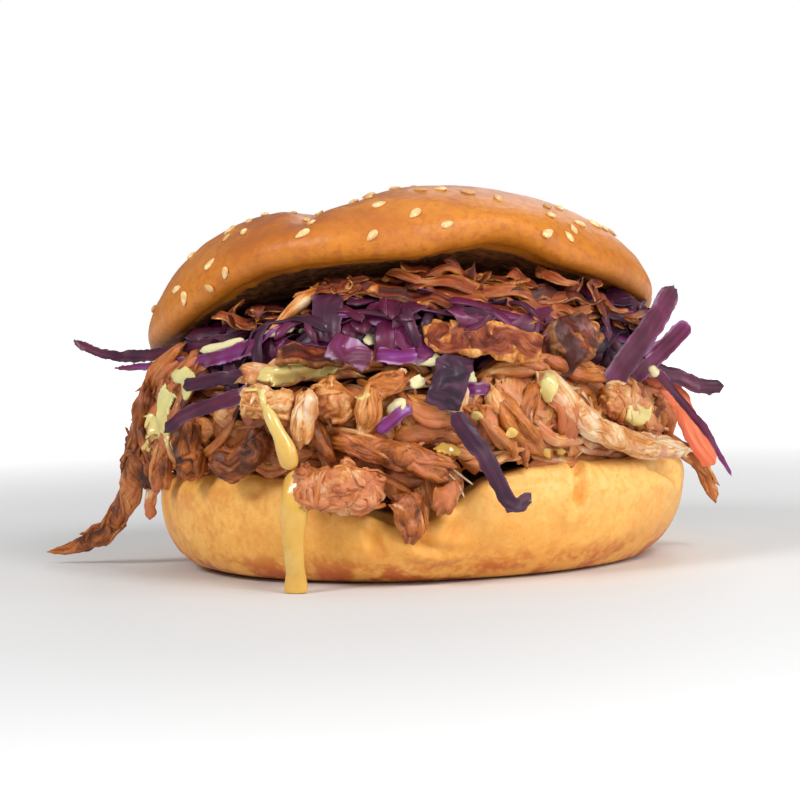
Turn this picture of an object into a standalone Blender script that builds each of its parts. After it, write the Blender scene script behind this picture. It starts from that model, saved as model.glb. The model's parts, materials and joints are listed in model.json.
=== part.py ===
"""A pulled pork sandwich, propped open at the front by its filling.

Lengths are in metres and +Z is up. The origin is the middle of the bottom bun's flat foot, and the
open side of the sandwich faces -Y. Pieces that touch keep a small gap: what lies underneath is cut
by a slightly grown copy of what lies on it.
"""

import math
from collections import namedtuple

import bmesh
import bpy
from mathutils import Matrix, Vector, noise

MM = 0.001
GAP = 0.4 * MM

# Bottom half of the bun
BASE_RADIUS = 56.3 * MM
BASE_FOOT_RADIUS = 43 * MM
BASE_HEIGHT = 22.5 * MM
BASE_LIP = 4.0 * MM
BASE_DIP_X = -5 * MM
BASE_DIP_HALF_WIDTH = 12 * MM
BASE_DIP_SHARE = 0.5
BASE_LEAN = 1.6 * MM

# Top half of the bun, in its own frame: cut face at z = 0, then tilted and set on the filling
TOP_RADIUS = 55 * MM
TOP_HEIGHT = 23.8 * MM
TOP_LIP = 3.2 * MM
TOP_CUT_HOLLOW = 2.5 * MM
TOP_CENTRE = Vector((-4, 4, 51.6)) * MM
TOP_TILT = math.radians(14.5)
TOP_ROLL = math.radians(-3.3)
TOP_DROOP = 4.5 * MM
CREASE_BACK = Vector((-12, 40)) * MM
CREASE_FRONT = Vector((-17.5, -47)) * MM
CREASE_LEFT_WIDTH, CREASE_RIGHT_WIDTH = 4 * MM, 13 * MM
CREASE_DEPTH = 3.6 * MM
LOBE_CENTRE, LOBE_RADIUS, LOBE_HEIGHT = Vector((-37, -10)) * MM, 17 * MM, 2.6 * MM
# Where the front lip arches up or hangs lower: place across, half width, height
TOP_LIP_ARCHES = ((17 * MM, 11 * MM, 2.6 * MM), (-29 * MM, 14 * MM, 2.4 * MM), (41 * MM, 8 * MM, -1.2 * MM))

# Filling mounds
PORK_RADIUS = 52 * MM
PORK_SHARE = 0.5
PORK_LUMP = 2.4 * MM
PORK_FRONT_BULGE = 5.5 * MM
PORK_LEFT_BULGE = 7.5 * MM
SLAW_RADIUS = 48.5 * MM
SLAW_LUMP = 1.8 * MM
SLAW_FRONT_DROP = 9.5 * MM
SLAW_FRONT_BULGE = 4.5 * MM
SLAW_LEFT_BULGE = 1.5 * MM
MOUND_SINK = 2.5 * MM

BACON_THICKNESS = 1.4 * MM

TURN_STEPS = 42
MOUND_STEPS, MOUND_RINGS = 32, 14
STRAND_STEPS, RIBBON_STEPS, STRAND_RINGS = 8, 6, 9


# ---------------------------------------------------------------- helpers


def smooth_step(low, high, value):
    share = min(1.0, max(0.0, (value - low) / (high - low)))
    return share * share * (3 - 2 * share)


def bell(value, half_width):
    return math.exp(-((value / half_width) ** 2))


def wobble(point, scale, seed):
    """Smooth noise from -1 to 1, the same at each run."""
    return noise.noise(point / scale + Vector((seed, 2.3 * seed, -1.7 * seed)))


def collection(name):
    made = bpy.data.collections.new(name)
    bpy.context.scene.collection.children.link(made)
    return made


def clear_scene():
    for obj in list(bpy.data.objects):
        bpy.data.objects.remove(obj)


def food_material(name, colour, roughness):
    material = bpy.data.materials.new(name)
    material.use_nodes = True
    shader = material.node_tree.nodes["Principled BSDF"]
    shader.inputs["Base Color"].default_value = (*colour, 1.0)
    shader.inputs["Roughness"].default_value = roughness
    shader.inputs["Metallic"].default_value = 0.0
    material.diffuse_color = (*colour, 1.0)
    return material


def triangulated(mesh):
    """Splits the bent four-sided faces, so that a grown copy bends along the same lines."""
    shape = bmesh.new()
    shape.from_mesh(mesh)
    bmesh.ops.triangulate(shape, faces=shape.faces)
    shape.to_mesh(mesh)
    shape.free()


def finished(obj, material, home):
    """Puts a finished object in its collection, shaded smooth, with its material."""
    triangulated(obj.data)
    for other in list(obj.users_collection):
        other.objects.unlink(obj)
    home.objects.link(obj)
    obj.data.materials.clear()
    obj.data.materials.append(material)
    obj.data.shade_smooth()
    return obj


def evaluated_mesh(obj):
    bpy.context.view_layer.update()
    graph = bpy.context.evaluated_depsgraph_get()
    mesh = bpy.data.meshes.new_from_object(obj.evaluated_get(graph))
    mesh.transform(obj.matrix_world)
    return mesh


def keep_largest_body(mesh):
    """A cut can leave crumbs behind: only the body with the most faces stays."""
    shape = bmesh.new()
    shape.from_mesh(mesh)
    left = set(shape.verts)
    bodies = []
    while left:
        found, edge = set(), [left.pop()]
        while edge:
            vert = edge.pop()
            found.add(vert)
            for link in vert.link_edges:
                other = link.other_vert(vert)
                if other in left:
                    left.discard(other)
                    edge.append(other)
        bodies.append(found)
    bodies.sort(key=len, reverse=True)
    spare = [vert for body in bodies[1:] for vert in body]
    bmesh.ops.delete(shape, geom=spare, context="VERTS")
    shape.to_mesh(mesh)
    shape.free()


def near(a, b, margin):
    """True if the boxes of two objects with their place in their meshes come within margin."""
    boxes = []
    for obj in (a, b):
        points = [vert.co for vert in obj.data.vertices]
        low = [min(point[i] for point in points) for i in range(3)]
        high = [max(point[i] for point in points) for i in range(3)]
        boxes.append((low, high))
    (low_a, high_a), (low_b, high_b) = boxes
    return all(low_a[i] - margin < high_b[i] and low_b[i] - margin < high_a[i] for i in range(3))


def cut_by(under, others, cutters):
    """Cuts a grown copy of each near object out of under, so that a gap stays between them.

    The cut is applied and its cutters removed, because what comes next is cut by the finished shape.
    """
    for other in others:
        if not near(under, other, 2 * GAP):
            continue
        cutter = bpy.data.objects.new("grown_" + other.name, other.data.copy())
        cutters.objects.link(cutter)
        grow = cutter.modifiers.new("grow", "DISPLACE")
        grow.strength = GAP
        grow.mid_level = 0.0
        cutter.hide_render = True
        cutter.display_type = "WIRE"
        cut = under.modifiers.new("cut", "BOOLEAN")
        cut.operation = "DIFFERENCE"
        cut.solver = "EXACT"
        cut.object = cutter
    mesh = evaluated_mesh(under)
    under.modifiers.clear()
    keep_largest_body(mesh)
    under.data = mesh
    for cutter in list(cutters.objects):
        bpy.data.objects.remove(cutter)


# ---------------------------------------------------------------- bun


def turned(name, profile, home):
    """A profile of (radius, height) pairs, from the top of the axis down its outer side, turned round Z."""
    mesh = bpy.data.meshes.new(name)
    mesh.from_pydata([(radius, 0, height) for radius, height in profile],
                     [(i, i + 1) for i in range(len(profile) - 1)], [])
    obj = bpy.data.objects.new(name, mesh)
    home.objects.link(obj)
    screw = obj.modifiers.new("turn", "SCREW")
    screw.steps = TURN_STEPS
    screw.render_steps = TURN_STEPS
    screw.use_merge_vertices = True
    screw.merge_threshold = 0.00005
    obj.data = evaluated_mesh(obj)
    obj.modifiers.clear()
    return obj


def base_profile():
    """Flat cut face, rounded lip, side that tucks in to the foot."""
    profile = [(BASE_RADIUS * share, BASE_HEIGHT) for share in (0, 0.3, 0.58, 0.8)]
    centre = BASE_RADIUS - BASE_LIP
    for step in range(4):
        angle = math.radians(30 * step)
        profile.append((centre + BASE_LIP * math.sin(angle),
                        BASE_HEIGHT - BASE_LIP * (1 - math.cos(angle))))
    side = BASE_HEIGHT - BASE_LIP
    for step in range(1, 8):
        angle = math.radians(90 * step / 7)
        radius = BASE_FOOT_RADIUS + (BASE_RADIUS - BASE_FOOT_RADIUS) * math.cos(angle) ** 0.8
        profile.append((radius, side * (1 - math.sin(angle))))
    profile[-1] = (BASE_FOOT_RADIUS, 0.0)
    return profile + [(BASE_FOOT_RADIUS * 0.5, 0.0), (0.0, 0.0)]


def press_base(point):
    """The meat at the front weighs the rim down, and the sides sag a little."""
    reach = math.hypot(point.x, point.y) / BASE_RADIUS
    front = smooth_step(0.35, 0.8, -point.y / BASE_RADIUS)
    dip = bell(point.x - BASE_DIP_X, BASE_DIP_HALF_WIDTH) * front * smooth_step(0.6, 0.95, reach)
    sag = 0.07 * smooth_step(0.6, 1.0, abs(point.x) / BASE_RADIUS)
    uneven = 1 + 0.012 * wobble(point, 30 * MM, 3)
    height = point.z * (1 - BASE_DIP_SHARE * dip - sag)
    spread = 1 + 0.02 * dip * smooth_step(0, 10 * MM, point.z)
    flat = smooth_step(0, 2 * MM, point.z)
    spread *= 1 + (uneven - 1) * flat
    lean = BASE_LEAN * (1 - point.z / BASE_HEIGHT) * flat
    return Vector((point.x * spread - lean, point.y * spread, height))


def top_profile():
    """Dome, lip that curls under, and a cut face that is a little hollow."""
    profile = []
    for step in range(9):
        angle = math.radians(90 - 10.5 * step)
        profile.append((TOP_RADIUS * math.cos(angle) ** 0.92,
                        TOP_LIP + (TOP_HEIGHT - TOP_LIP) * math.sin(angle) ** 0.95))
    centre = TOP_RADIUS - TOP_LIP
    for step in range(6):
        angle = math.radians(36 * step)
        profile.append((centre + TOP_LIP * math.cos(angle), TOP_LIP * (1 - math.sin(angle))))
    profile[-1] = (centre - TOP_LIP, 0.8 * MM)
    hollow = [(share * TOP_RADIUS, TOP_CUT_HOLLOW) for share in (0.6, 0.3, 0.0)]
    return profile + hollow


def press_top(point):
    """A soft crease across the dome with a lobe on its left, sides that droop and a wavy front lip."""
    flat = Vector((point.x, point.y))
    along = CREASE_FRONT - CREASE_BACK
    share = (flat - CREASE_BACK).dot(along) / along.length_squared
    across = flat.x - (CREASE_BACK + along * share).x
    width = CREASE_RIGHT_WIDTH if across > 0 else CREASE_LEFT_WIDTH
    fade = smooth_step(-0.1, 0.25, share) * (1 - smooth_step(0.85, 1.15, share))
    on_dome = smooth_step(0.25, 0.6, point.z / TOP_HEIGHT)
    crease = CREASE_DEPTH * bell(across, width) * fade * on_dome
    lobe = LOBE_HEIGHT * bell((flat - LOBE_CENTRE).length, LOBE_RADIUS) * on_dome
    droop = TOP_DROOP * (point.x / TOP_RADIUS) ** 2
    on_lip = smooth_step(0.5, 0.85, -point.y / TOP_RADIUS) * (1 - smooth_step(0.1, 0.5, point.z / TOP_HEIGHT))
    arch = sum(height * bell(point.x - place, width) for place, width, height in TOP_LIP_ARCHES) * on_lip
    uneven = 1 + 0.015 * wobble(point, 35 * MM, 7)
    return Vector((point.x * uneven, point.y * uneven, point.z - crease + lobe - droop + arch))


def top_place():
    """The matrix that sets the top bun, front edge up, on the filling."""
    turn = Matrix.Rotation(TOP_ROLL, 4, "Y") @ Matrix.Rotation(-TOP_TILT, 4, "X")
    return Matrix.Translation(TOP_CENTRE) @ turn


def top_underside(x, y):
    """Height of the top bun's cut face over a point of the plan."""
    run_x, run_y = x - TOP_CENTRE.x, y - TOP_CENTRE.y
    slope = -math.tan(TOP_TILT) * run_y - math.tan(TOP_ROLL) * run_x
    return TOP_CENTRE.z + slope - TOP_DROOP * (run_x / TOP_RADIUS) ** 2


def make_bun(crust, home):
    base = turned("bun_base", base_profile(), home)
    for vert in base.data.vertices:
        vert.co = press_base(vert.co)
    top = turned("bun_top", top_profile(), home)
    place = top_place()
    for vert in top.data.vertices:
        vert.co = place @ press_top(vert.co)
    return finished(base, crust["base"], home), finished(top, crust["top"], home)


# ---------------------------------------------------------------- filling


def pork_top(x, y):
    return BASE_HEIGHT + PORK_SHARE * (top_underside(x, y) - BASE_HEIGHT)


def slaw_top(x, y):
    front = smooth_step(14 * MM, 30 * MM, -y)
    return top_underside(x, y) - SLAW_FRONT_DROP * front + MOUND_SINK * (1 - front)


def mound(name, radius, bulge, left_bulge, floor, roof, lump, seed, home):
    """A ball pulled out between two heights, floor and roof, with a lumpy outline that bulges in front and on the left."""
    shape = bmesh.new()
    bmesh.ops.create_uvsphere(shape, u_segments=MOUND_STEPS, v_segments=MOUND_RINGS, radius=1.0)
    for vert in shape.verts:
        unit = vert.co.copy()
        reach = radius * math.hypot(unit.x, unit.y)
        angle = math.atan2(unit.y, unit.x)
        spot = Vector((math.cos(angle), math.sin(angle), unit.z)) * radius
        front = smooth_step(0.55, 0.95, -math.sin(angle + 0.12))
        left = smooth_step(0.7, 0.98, -math.cos(angle - 0.1))
        reach *= 1 + (bulge * front + left_bulge * left + 1.6 * lump * wobble(spot, 14 * MM, seed)) / radius
        x, y = reach * math.cos(angle), reach * math.sin(angle)
        low, high = floor(x, y), roof(x, y)
        rise = math.copysign(abs(unit.z) ** 0.45, unit.z)
        height = (low + high) / 2 + rise * (high - low) / 2
        height += lump * wobble(Vector((x, y, height)), 11 * MM, seed + 5) * smooth_step(-0.2, 0.6, unit.z)
        vert.co = Vector((x, y, height))
    mesh = bpy.data.meshes.new(name)
    shape.to_mesh(mesh)
    shape.free()
    obj = bpy.data.objects.new(name, mesh)
    home.objects.link(obj)
    return obj


def make_mounds(colours, home):
    pork = mound("pork_heap", PORK_RADIUS, PORK_FRONT_BULGE, PORK_LEFT_BULGE,
                 lambda x, y: BASE_HEIGHT - MOUND_SINK, pork_top, PORK_LUMP, 11, home)
    slaw = mound("cabbage_heap", SLAW_RADIUS, SLAW_FRONT_BULGE, SLAW_LEFT_BULGE,
                 lambda x, y: pork_top(x, y) - MOUND_SINK, slaw_top, SLAW_LUMP, 23, home)
    return finished(pork, colours["pork"], home), finished(slaw, colours["cabbage"], home)


# ---------------------------------------------------------------- strands and strips


def route_point(route, share):
    """A point on the smooth curve through the route's own points."""
    place = share * (len(route) - 1)
    i = min(int(place), len(route) - 2)
    t = place - i
    before = route[max(i - 1, 0)]
    start, end = route[i], route[i + 1]
    after = route[min(i + 2, len(route) - 1)]
    return 0.5 * ((2 * start) + (end - before) * t + (2 * before - 5 * start + 4 * end - after) * t ** 2
                  + (3 * start - before - 3 * end + after) * t ** 3)


def strand(name, kind, steps, home, blunt, square, ragged, seed):
    """A ball drawn out along a route, with its flat side towards kind.facing.

    blunt is how square its ends are, square how square its edges are.
    """
    route = [Vector(point) * MM for point in kind.route]
    shape = bmesh.new()
    bmesh.ops.create_uvsphere(shape, u_segments=steps, v_segments=STRAND_RINGS, radius=1.0)
    for vert in shape.verts:
        share = 0.5 + math.asin(max(-1.0, min(1.0, vert.co.z))) / math.pi
        centre = route_point(route, share)
        ahead = route_point(route, min(1.0, share + 0.03)) - route_point(route, max(0.0, share - 0.03))
        ahead.normalize()
        facing = Vector(kind.facing)
        face = (facing - ahead * facing.dot(ahead)).normalized()
        side = ahead.cross(face)
        girth = max(0.0, 1 - abs(2 * share - 1) ** blunt) ** 0.5 * (1 - kind.taper * share)
        angle = math.atan2(vert.co.y, vert.co.x)
        across = math.copysign(abs(math.cos(angle)) ** square, math.cos(angle))
        through = math.copysign(abs(math.sin(angle)) ** square, math.sin(angle))
        if share in (0.0, 1.0):
            across = through = 0.0
        girth *= 1 + ragged * wobble(centre + (side * across + face * through) * kind.width, 4 * MM, seed)
        offset = side * across * kind.width + face * through * kind.thickness
        vert.co = centre + offset * girth * MM / 2
    bmesh.ops.recalc_face_normals(shape, faces=shape.faces)
    mesh = bpy.data.meshes.new(name)
    shape.to_mesh(mesh)
    shape.free()
    obj = bpy.data.objects.new(name, mesh)
    home.objects.link(obj)
    return obj


FRONT, FRONT_UP = (0, -1, 0.2), (0, -1, 0.7)
LEFT_FRONT, RIGHT_FRONT = (-0.5, -1, 0.2), (0.5, -1, 0.2)
# Route, width and thickness in millimetres. Taper is how much thinner the far end is.
Strand = namedtuple("Strand", "route width thickness taper facing", defaults=(0.0, FRONT))

CABBAGE_PIECES = {
    "cabbage_leaf_dark": Strand([(7.5, -54, 46.5), (6, -58, 43), (4.5, -60.5, 39), (3, -60.5, 34.8)],
                                7.6, 1.0, -0.1),
    "cabbage_strip_hanging": Strand([(4.7, -60.5, 36.6), (7.6, -62.5, 31.1), (11.3, -63, 26), (14, -62.5, 20.2),
                                     (16.3, -62, 15.8), (18.2, -61.5, 16.4), (20.5, -60.5, 19.5)], 4.6, 1.0, 0.3),
    "cabbage_strip_low": Strand([(-9.4, -59.5, 31), (-6.4, -59.5, 33.4), (-2.4, -58, 36)], 3.0, 1.0),
    "cabbage_bit_right": Strand([(6.5, -56, 38.3), (10, -56.5, 38.7), (13.4, -55, 38.2)], 3.2, 1.0),
    "cabbage_leaf_mauve": Strand([(-18.5, -55.5, 48.4), (-14.2, -57, 47), (-10, -57, 44.4)], 7.2, 1.1, 0.25,
                                 FRONT_UP),
    "cabbage_strip_bright": Strand([(-10.5, -46, 55.6), (-4.2, -51, 50.5), (2.2, -54.5, 45)], 6.4, 1.1, -0.15,
                                   FRONT_UP),
    "cabbage_strip_violet": Strand([(-9.5, -53, 46), (-5, -55, 45.6), (-0.5, -55, 46)], 4.6, 1.0, 0.2, FRONT_UP),
    "cabbage_leaf_centre": Strand([(-18.2, -45, 58.2), (-18.5, -49.5, 53.4), (-19, -51.5, 48.4)], 7.6, 1.1, 0.2),
    "cabbage_strip_left_bright": Strand([(-30, -47.5, 49.6), (-38.5, -40, 46.6), (-45.2, -31, 44.9),
                                         (-51.1, -21, 44.4), (-59.4, -11, 43.6), (-67.4, -4, 43.2)],
                                        4.6, 1.0, 0.7, LEFT_FRONT),
    "cabbage_strip_left": Strand([(-26, -42.5, 50.4), (-35, -35, 49.4), (-44.2, -26, 48.2), (-51.2, -18, 46.9),
                                  (-59.5, -8, 45.7), (-66, -2, 45.8), (-72.3, 2, 47.8), (-76.3, 4, 50.4)],
                                 4.4, 1.0, 0.5, LEFT_FRONT),
    "cabbage_strip_left_dark": Strand([(-33, -50.5, 39.4), (-36.5, -50.5, 38.4), (-42.4, -47.5, 36.8),
                                       (-48.5, -43, 34.6), (-52.8, -38.5, 30.8)], 4.4, 1.0, 0.3, LEFT_FRONT),
    "cabbage_strip_left_dull": Strand([(-33, -46, 42.8), (-41, -42, 41.8), (-49, -35, 40)], 3.6, 1.0, 0.1,
                                      LEFT_FRONT),
    "cabbage_strip_right": Strand([(37, -36, 35.8), (40.7, -34, 41.3), (44.7, -32, 46.2), (49.2, -30, 52.1),
                                   (52.6, -29, 57.6)], 6.2, 1.1, 0.1, (0.35, -1, -0.1)),
    "cabbage_strip_right_back": Strand([(43, -20, 37), (48.9, -17, 42.3), (52.7, -16, 45.5), (56.6, -15, 49.4)],
                                       5.0, 1.1, 0.1, RIGHT_FRONT),
    "cabbage_strip_right_long": Strand([(47.5, -25, 40.5), (49.7, -23, 38.1), (53.6, -20.5, 33.1),
                                        (59, -17.5, 26.4), (62.7, -15, 19.8), (65, -14, 15.6)], 2.8, 1.0, 0.35,
                                       RIGHT_FRONT),
    "cabbage_strip_right_short": Strand([(45, -17, 40.5), (54.5, -12, 37.3), (58.9, -10, 35.3), (64.4, -9, 35.2)],
                                        4.2, 1.0, 0.1, RIGHT_FRONT),
}

CARROT_PIECE = Strand([(46, -12, 41), (54.6, -10, 32), (57.6, -9, 24.5), (61.8, -8, 18)], 5.6, 1.8, -0.05,
                      RIGHT_FRONT)

PORK_PIECES = {
    "pork_strip_hanging": Strand([(-50, -14, 40), (-59, -9, 34), (-61, -6, 26), (-62.4, -4, 19.5),
                                  (-65, 0, 13), (-68.8, 4, 8), (-73.6, 8, 5), (-79, 11, 3.2), (-85, 14, 2.4)],
                                 7.4, 3.4, 0.5, LEFT_FRONT),
    "pork_bit_left": Strand([(-58.4, -8.5, 23.5), (-58.6, -8.5, 20.5), (-58.6, -8, 17.6)], 5.4, 2.0, 0.2,
                            LEFT_FRONT),
    "pork_tab_left": Strand([(-57.6, -6.5, 18.6), (-58.6, -6.5, 15), (-59, -6, 10.6)], 3.6, 2.0, 0.2, LEFT_FRONT),
    "pork_ball_left": Strand([(-50, -19, 43), (-53.5, -15.5, 40.5), (-56, -13.5, 36), (-55, -14, 33)], 7.6, 7.6, 0.1,
                             LEFT_FRONT),
    "pork_chunk_side": Strand([(-52.6, -24.5, 29), (-54.4, -23.5, 24), (-54.8, -22, 18)], 5.4, 3.4, 0.2,
                              LEFT_FRONT),
    "pork_chunk_left": Strand([(-47.5, -36, 34), (-48, -35.5, 28), (-47, -36, 21.5)], 6.4, 5.6, -0.15, LEFT_FRONT),
    "pork_chunk_twist": Strand([(-32, -48.5, 32.5), (-34, -49, 27.5), (-38.5, -47.5, 24.8), (-42.5, -44.5, 26.4)],
                               6.4, 5.6, 0.15, LEFT_FRONT),
    "pork_chunk_upright": Strand([(-22.8, -58.8, 39.6), (-23.4, -60.4, 35), (-24.4, -59.4, 29)], 5.4, 3.4, 0.25),
    "pork_chunk_arch": Strand([(-3.4, -56, 40.2), (-7.6, -58, 40.4), (-10.6, -59, 37.4), (-11.2, -58.5, 31.4)],
                              5.0, 4.4, -0.1),
    "pork_chunk_middle": Strand([(-21, -55, 39.2), (-17.4, -57, 37.4), (-14.2, -57, 34)], 7.2, 5.2, 0.1),
    "pork_chunk_tan": Strand([(-35.5, -53.5, 38), (-30, -56.5, 36.8), (-24.5, -57, 36.4)], 6.6, 6.2, -0.1),
    "pork_strip_middle": Strand([(-20, -54, 30.3), (-10.5, -58, 28.4), (-2.2, -60, 25.6), (5.2, -60.5, 22)],
                                5.4, 4.4, -0.15),
    "pork_strip_end": Strand([(3.6, -59.5, 22.2), (3.4, -61, 18.6), (2.4, -61, 15)], 5.4, 3.0, 0.2),
    "pork_chunk_front": Strand([(-26.4, -57, 19.6), (-21.5, -58.6, 20.4), (-15.8, -60, 20.2), (-8, -60, 19.8)],
                               9.4, 6.2, 0.0),
    "pork_chunk_dip": Strand([(-4.6, -58.5, 19), (-3.6, -60.6, 14.6), (-3, -60.6, 9.4)], 7.0, 4.4, 0.2),
    "pork_loop_right": Strand([(22.6, -51, 39.5), (20, -54, 34), (18.5, -54.5, 28), (19.4, -53, 22.8)],
                              4.0, 3.6, 0.1),
    "pork_strand_right": Strand([(14, -53, 40), (15.6, -56, 34), (16.8, -56, 28.5), (17.6, -54.5, 24.5)],
                                3.2, 3.0, 0.2),
    "pork_chunk_right": Strand([(22, -50, 42.5), (25.4, -51, 38.4), (29.6, -50.5, 33.4), (35.6, -46.5, 28.4),
                                (42.6, -39, 25.4), (49.4, -30, 23.8), (56.4, -21, 22.4)], 6.8, 4.8, 0.3,
                               RIGHT_FRONT),
    "pork_chunk_right_top": Strand([(35.5, -41, 36), (41, -38, 33), (46.5, -32, 30)], 7.6, 5.4, 0.2, RIGHT_FRONT),
    "pork_strip_right_low": Strand([(50, -12, 26), (57.8, -5, 19.5), (60.6, -3, 14), (62.6, -3, 10)], 4.2, 2.2, 0.3,
                                   RIGHT_FRONT),
    "pork_rod_left": Strand([(-30.5, -44, 51), (-24.4, -42.5, 56.2), (-19.6, -40, 59.4)], 2.2, 1.8),
}


def make_strands(colours, home):
    pieces = {}
    for name, kind in CABBAGE_PIECES.items():
        obj = strand(name, kind, RIBBON_STEPS, home, blunt=10.0, square=0.7, ragged=0.08, seed=2)
        pieces[name] = finished(obj, colours["cabbage"], home)
    carrot = strand("carrot_strip", CARROT_PIECE, STRAND_STEPS, home, blunt=12.0, square=0.6, ragged=0.0, seed=1)
    pieces["carrot_strip"] = finished(carrot, colours["carrot"], home)
    for seed, (name, kind) in enumerate(PORK_PIECES.items()):
        obj = strand(name, kind, STRAND_STEPS, home, blunt=4.0, square=0.8, ragged=0.42, seed=seed + 1)
        pieces[name] = finished(obj, colours["pork"], home)
    return pieces


# ---------------------------------------------------------------- bacon

# Middle, length, depth and ripple height in millimetres. Turn is round Z, lean lifts the front edge,
# and roll lifts the right end, in degrees.
Shard = namedtuple("Shard", "middle length depth turn lean roll ripples height")

BACON_PIECES = {
    "bacon_front": Shard((12, -53.5, 48), 23, 8.5, -4, -42, -8, 1.4, 0.9),
    "bacon_fold": Shard((29, -46, 46.6), 14, 10, 22, -68, 34, 1.2, 1.2),
    "bacon_red": Shard((-22, -52.5, 45.9), 13, 5.5, -4, -38, 0, 1.0, 0.7),
    "bacon_left": Shard((-3.6, -41, 57), 21, 10, -20, -12, -17, 2.0, 0.8),
    "bacon_middle": Shard((15.5, -41, 54), 20, 12, -8, -8, -14, 1.6, 0.9),
    "bacon_top": Shard((6, -33, 57.8), 27, 16, -2, 10, -9, 3.0, 0.9),
    "bacon_right": Shard((27, -30, 53.4), 21, 13, 20, 8, -4, 2.0, 0.8),
}


def bacon_shard(name, kind, seed, home):
    """A rippled, torn-edged sheet, thickened. Its ripples run across its length."""
    shape = bmesh.new()
    bmesh.ops.create_grid(shape, x_segments=9, y_segments=3, size=0.5)
    for vert in shape.verts:
        along, across = vert.co.x * kind.length * MM, vert.co.y * kind.depth * MM
        edge = abs(vert.co.y) * 2
        torn = 1 + 0.16 * wobble(Vector((along, 0, 0)), 4 * MM, seed) * edge
        narrow = 1 - 0.25 * (abs(vert.co.x) * 2) ** 4
        wave = math.sin(2 * math.pi * kind.ripples * vert.co.x + 0.6 * vert.co.y + seed)
        lift = kind.height * MM * (wave + 0.8 * wobble(Vector((along, across, 0)), 6 * MM, seed + 9))
        vert.co = Vector((along, across * torn * narrow, lift))
    mesh = bpy.data.meshes.new(name)
    shape.to_mesh(mesh)
    shape.free()
    turn = Matrix.Rotation(math.radians(kind.turn), 4, "Z")
    roll = Matrix.Rotation(-math.radians(kind.roll), 4, "Y")
    lean = Matrix.Rotation(-math.radians(kind.lean), 4, "X")
    mesh.transform(Matrix.Translation(Vector(kind.middle) * MM) @ turn @ roll @ lean)
    obj = bpy.data.objects.new(name, mesh)
    home.objects.link(obj)
    thick = obj.modifiers.new("thickness", "SOLIDIFY")
    thick.thickness = BACON_THICKNESS
    thick.offset = 0.0
    obj.data = evaluated_mesh(obj)
    obj.modifiers.clear()
    return obj


def make_bacon(colours, home):
    pieces = {}
    for seed, (name, kind) in enumerate(BACON_PIECES.items()):
        obj = bacon_shard(name, kind, seed + 1, home)
        pieces[name] = finished(obj, colours["bacon"], home)
    return pieces


def main():
    clear_scene()
    home = collection("pulled_pork_sandwich")
    cutters = collection("cutters")
    crust = {
        "top": food_material("crust_top", (0.52, 0.22, 0.055), 0.32),
        "base": food_material("crust_base", (0.74, 0.40, 0.12), 0.42),
    }
    colours = {
        "pork": food_material("pulled_pork", (0.42, 0.20, 0.10), 0.38),
        "cabbage": food_material("red_cabbage", (0.13, 0.03, 0.14), 0.35),
        "bacon": food_material("crisp_bacon", (0.40, 0.14, 0.06), 0.40),
        "carrot": food_material("carrot", (0.85, 0.22, 0.05), 0.40),
    }
    base, top = make_bun(crust, home)
    loose = list(make_bacon(colours, home).values()) + list(make_strands(colours, home).values())
    for i, piece in enumerate(loose):
        cut_by(piece, [base, top] + loose[:i], cutters)
    pork, slaw = make_mounds(colours, home)
    cut_by(slaw, [base, top, pork] + loose, cutters)
    cut_by(pork, [base, top] + loose, cutters)
    bpy.data.collections.remove(cutters)


main()
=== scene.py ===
"""Finishes and fine shapes for a pulled pork sandwich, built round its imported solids."""

import heapq
import json
import math
import random

import bmesh
import bpy
import numpy as np
from mathutils import Matrix, Quaternion, Vector, noise
from mathutils.bvhtree import BVHTree

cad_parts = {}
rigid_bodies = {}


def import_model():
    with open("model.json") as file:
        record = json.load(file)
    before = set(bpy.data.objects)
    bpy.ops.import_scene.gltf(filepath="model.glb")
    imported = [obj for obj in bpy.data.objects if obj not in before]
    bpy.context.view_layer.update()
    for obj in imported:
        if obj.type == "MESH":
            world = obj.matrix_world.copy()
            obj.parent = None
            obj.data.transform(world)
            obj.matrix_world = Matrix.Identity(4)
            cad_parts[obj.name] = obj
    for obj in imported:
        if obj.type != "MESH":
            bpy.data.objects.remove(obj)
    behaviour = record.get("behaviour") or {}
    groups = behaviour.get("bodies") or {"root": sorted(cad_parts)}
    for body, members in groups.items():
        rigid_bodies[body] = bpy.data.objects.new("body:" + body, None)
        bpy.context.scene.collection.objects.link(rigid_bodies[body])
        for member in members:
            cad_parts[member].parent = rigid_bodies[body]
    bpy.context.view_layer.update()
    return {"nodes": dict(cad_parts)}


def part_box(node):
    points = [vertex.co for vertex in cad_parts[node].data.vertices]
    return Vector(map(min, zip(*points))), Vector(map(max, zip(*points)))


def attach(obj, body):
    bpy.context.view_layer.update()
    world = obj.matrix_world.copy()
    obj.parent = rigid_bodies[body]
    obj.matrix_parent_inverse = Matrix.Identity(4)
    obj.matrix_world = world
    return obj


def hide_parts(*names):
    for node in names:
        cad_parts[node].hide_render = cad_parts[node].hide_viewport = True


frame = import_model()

bl_info = {
    "name": "Pulled Pork Sandwich",
    "version": (1, 0, 0),
    "blender": (4, 5, 0),
    "location": "3D View > Sidebar > Sandwich",
    "description": "Builds the fine shapes and finishes of a pulled pork sandwich",
    "category": "Object",
}

MM = 0.001
NODES = frame["nodes"]
NO_HIT = -1.0
MERGE_DISTANCE = 0.02 * MM
DOWN = Vector((0, 0, -1))
TOP_CUT_RADIUS = 47.5 * MM
BASE_CUT_RADIUS = 50.5 * MM
CORE_VOXEL = 1.1 * MM
SEED_SHAPE = (0.62, 0.34, 1.0)
SEED_GAP = 3.4 * MM
SEED_LIFT = 0.2 * MM
FILM_THICKNESS = 1.0 * MM
FILM_STEP = 0.3
FILM_BRIDGE = 3.0 * MM
RUN_VOXEL = 0.3 * MM
RUN_STEPS = 48


# ------------------------------------------------------------------ settings


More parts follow.
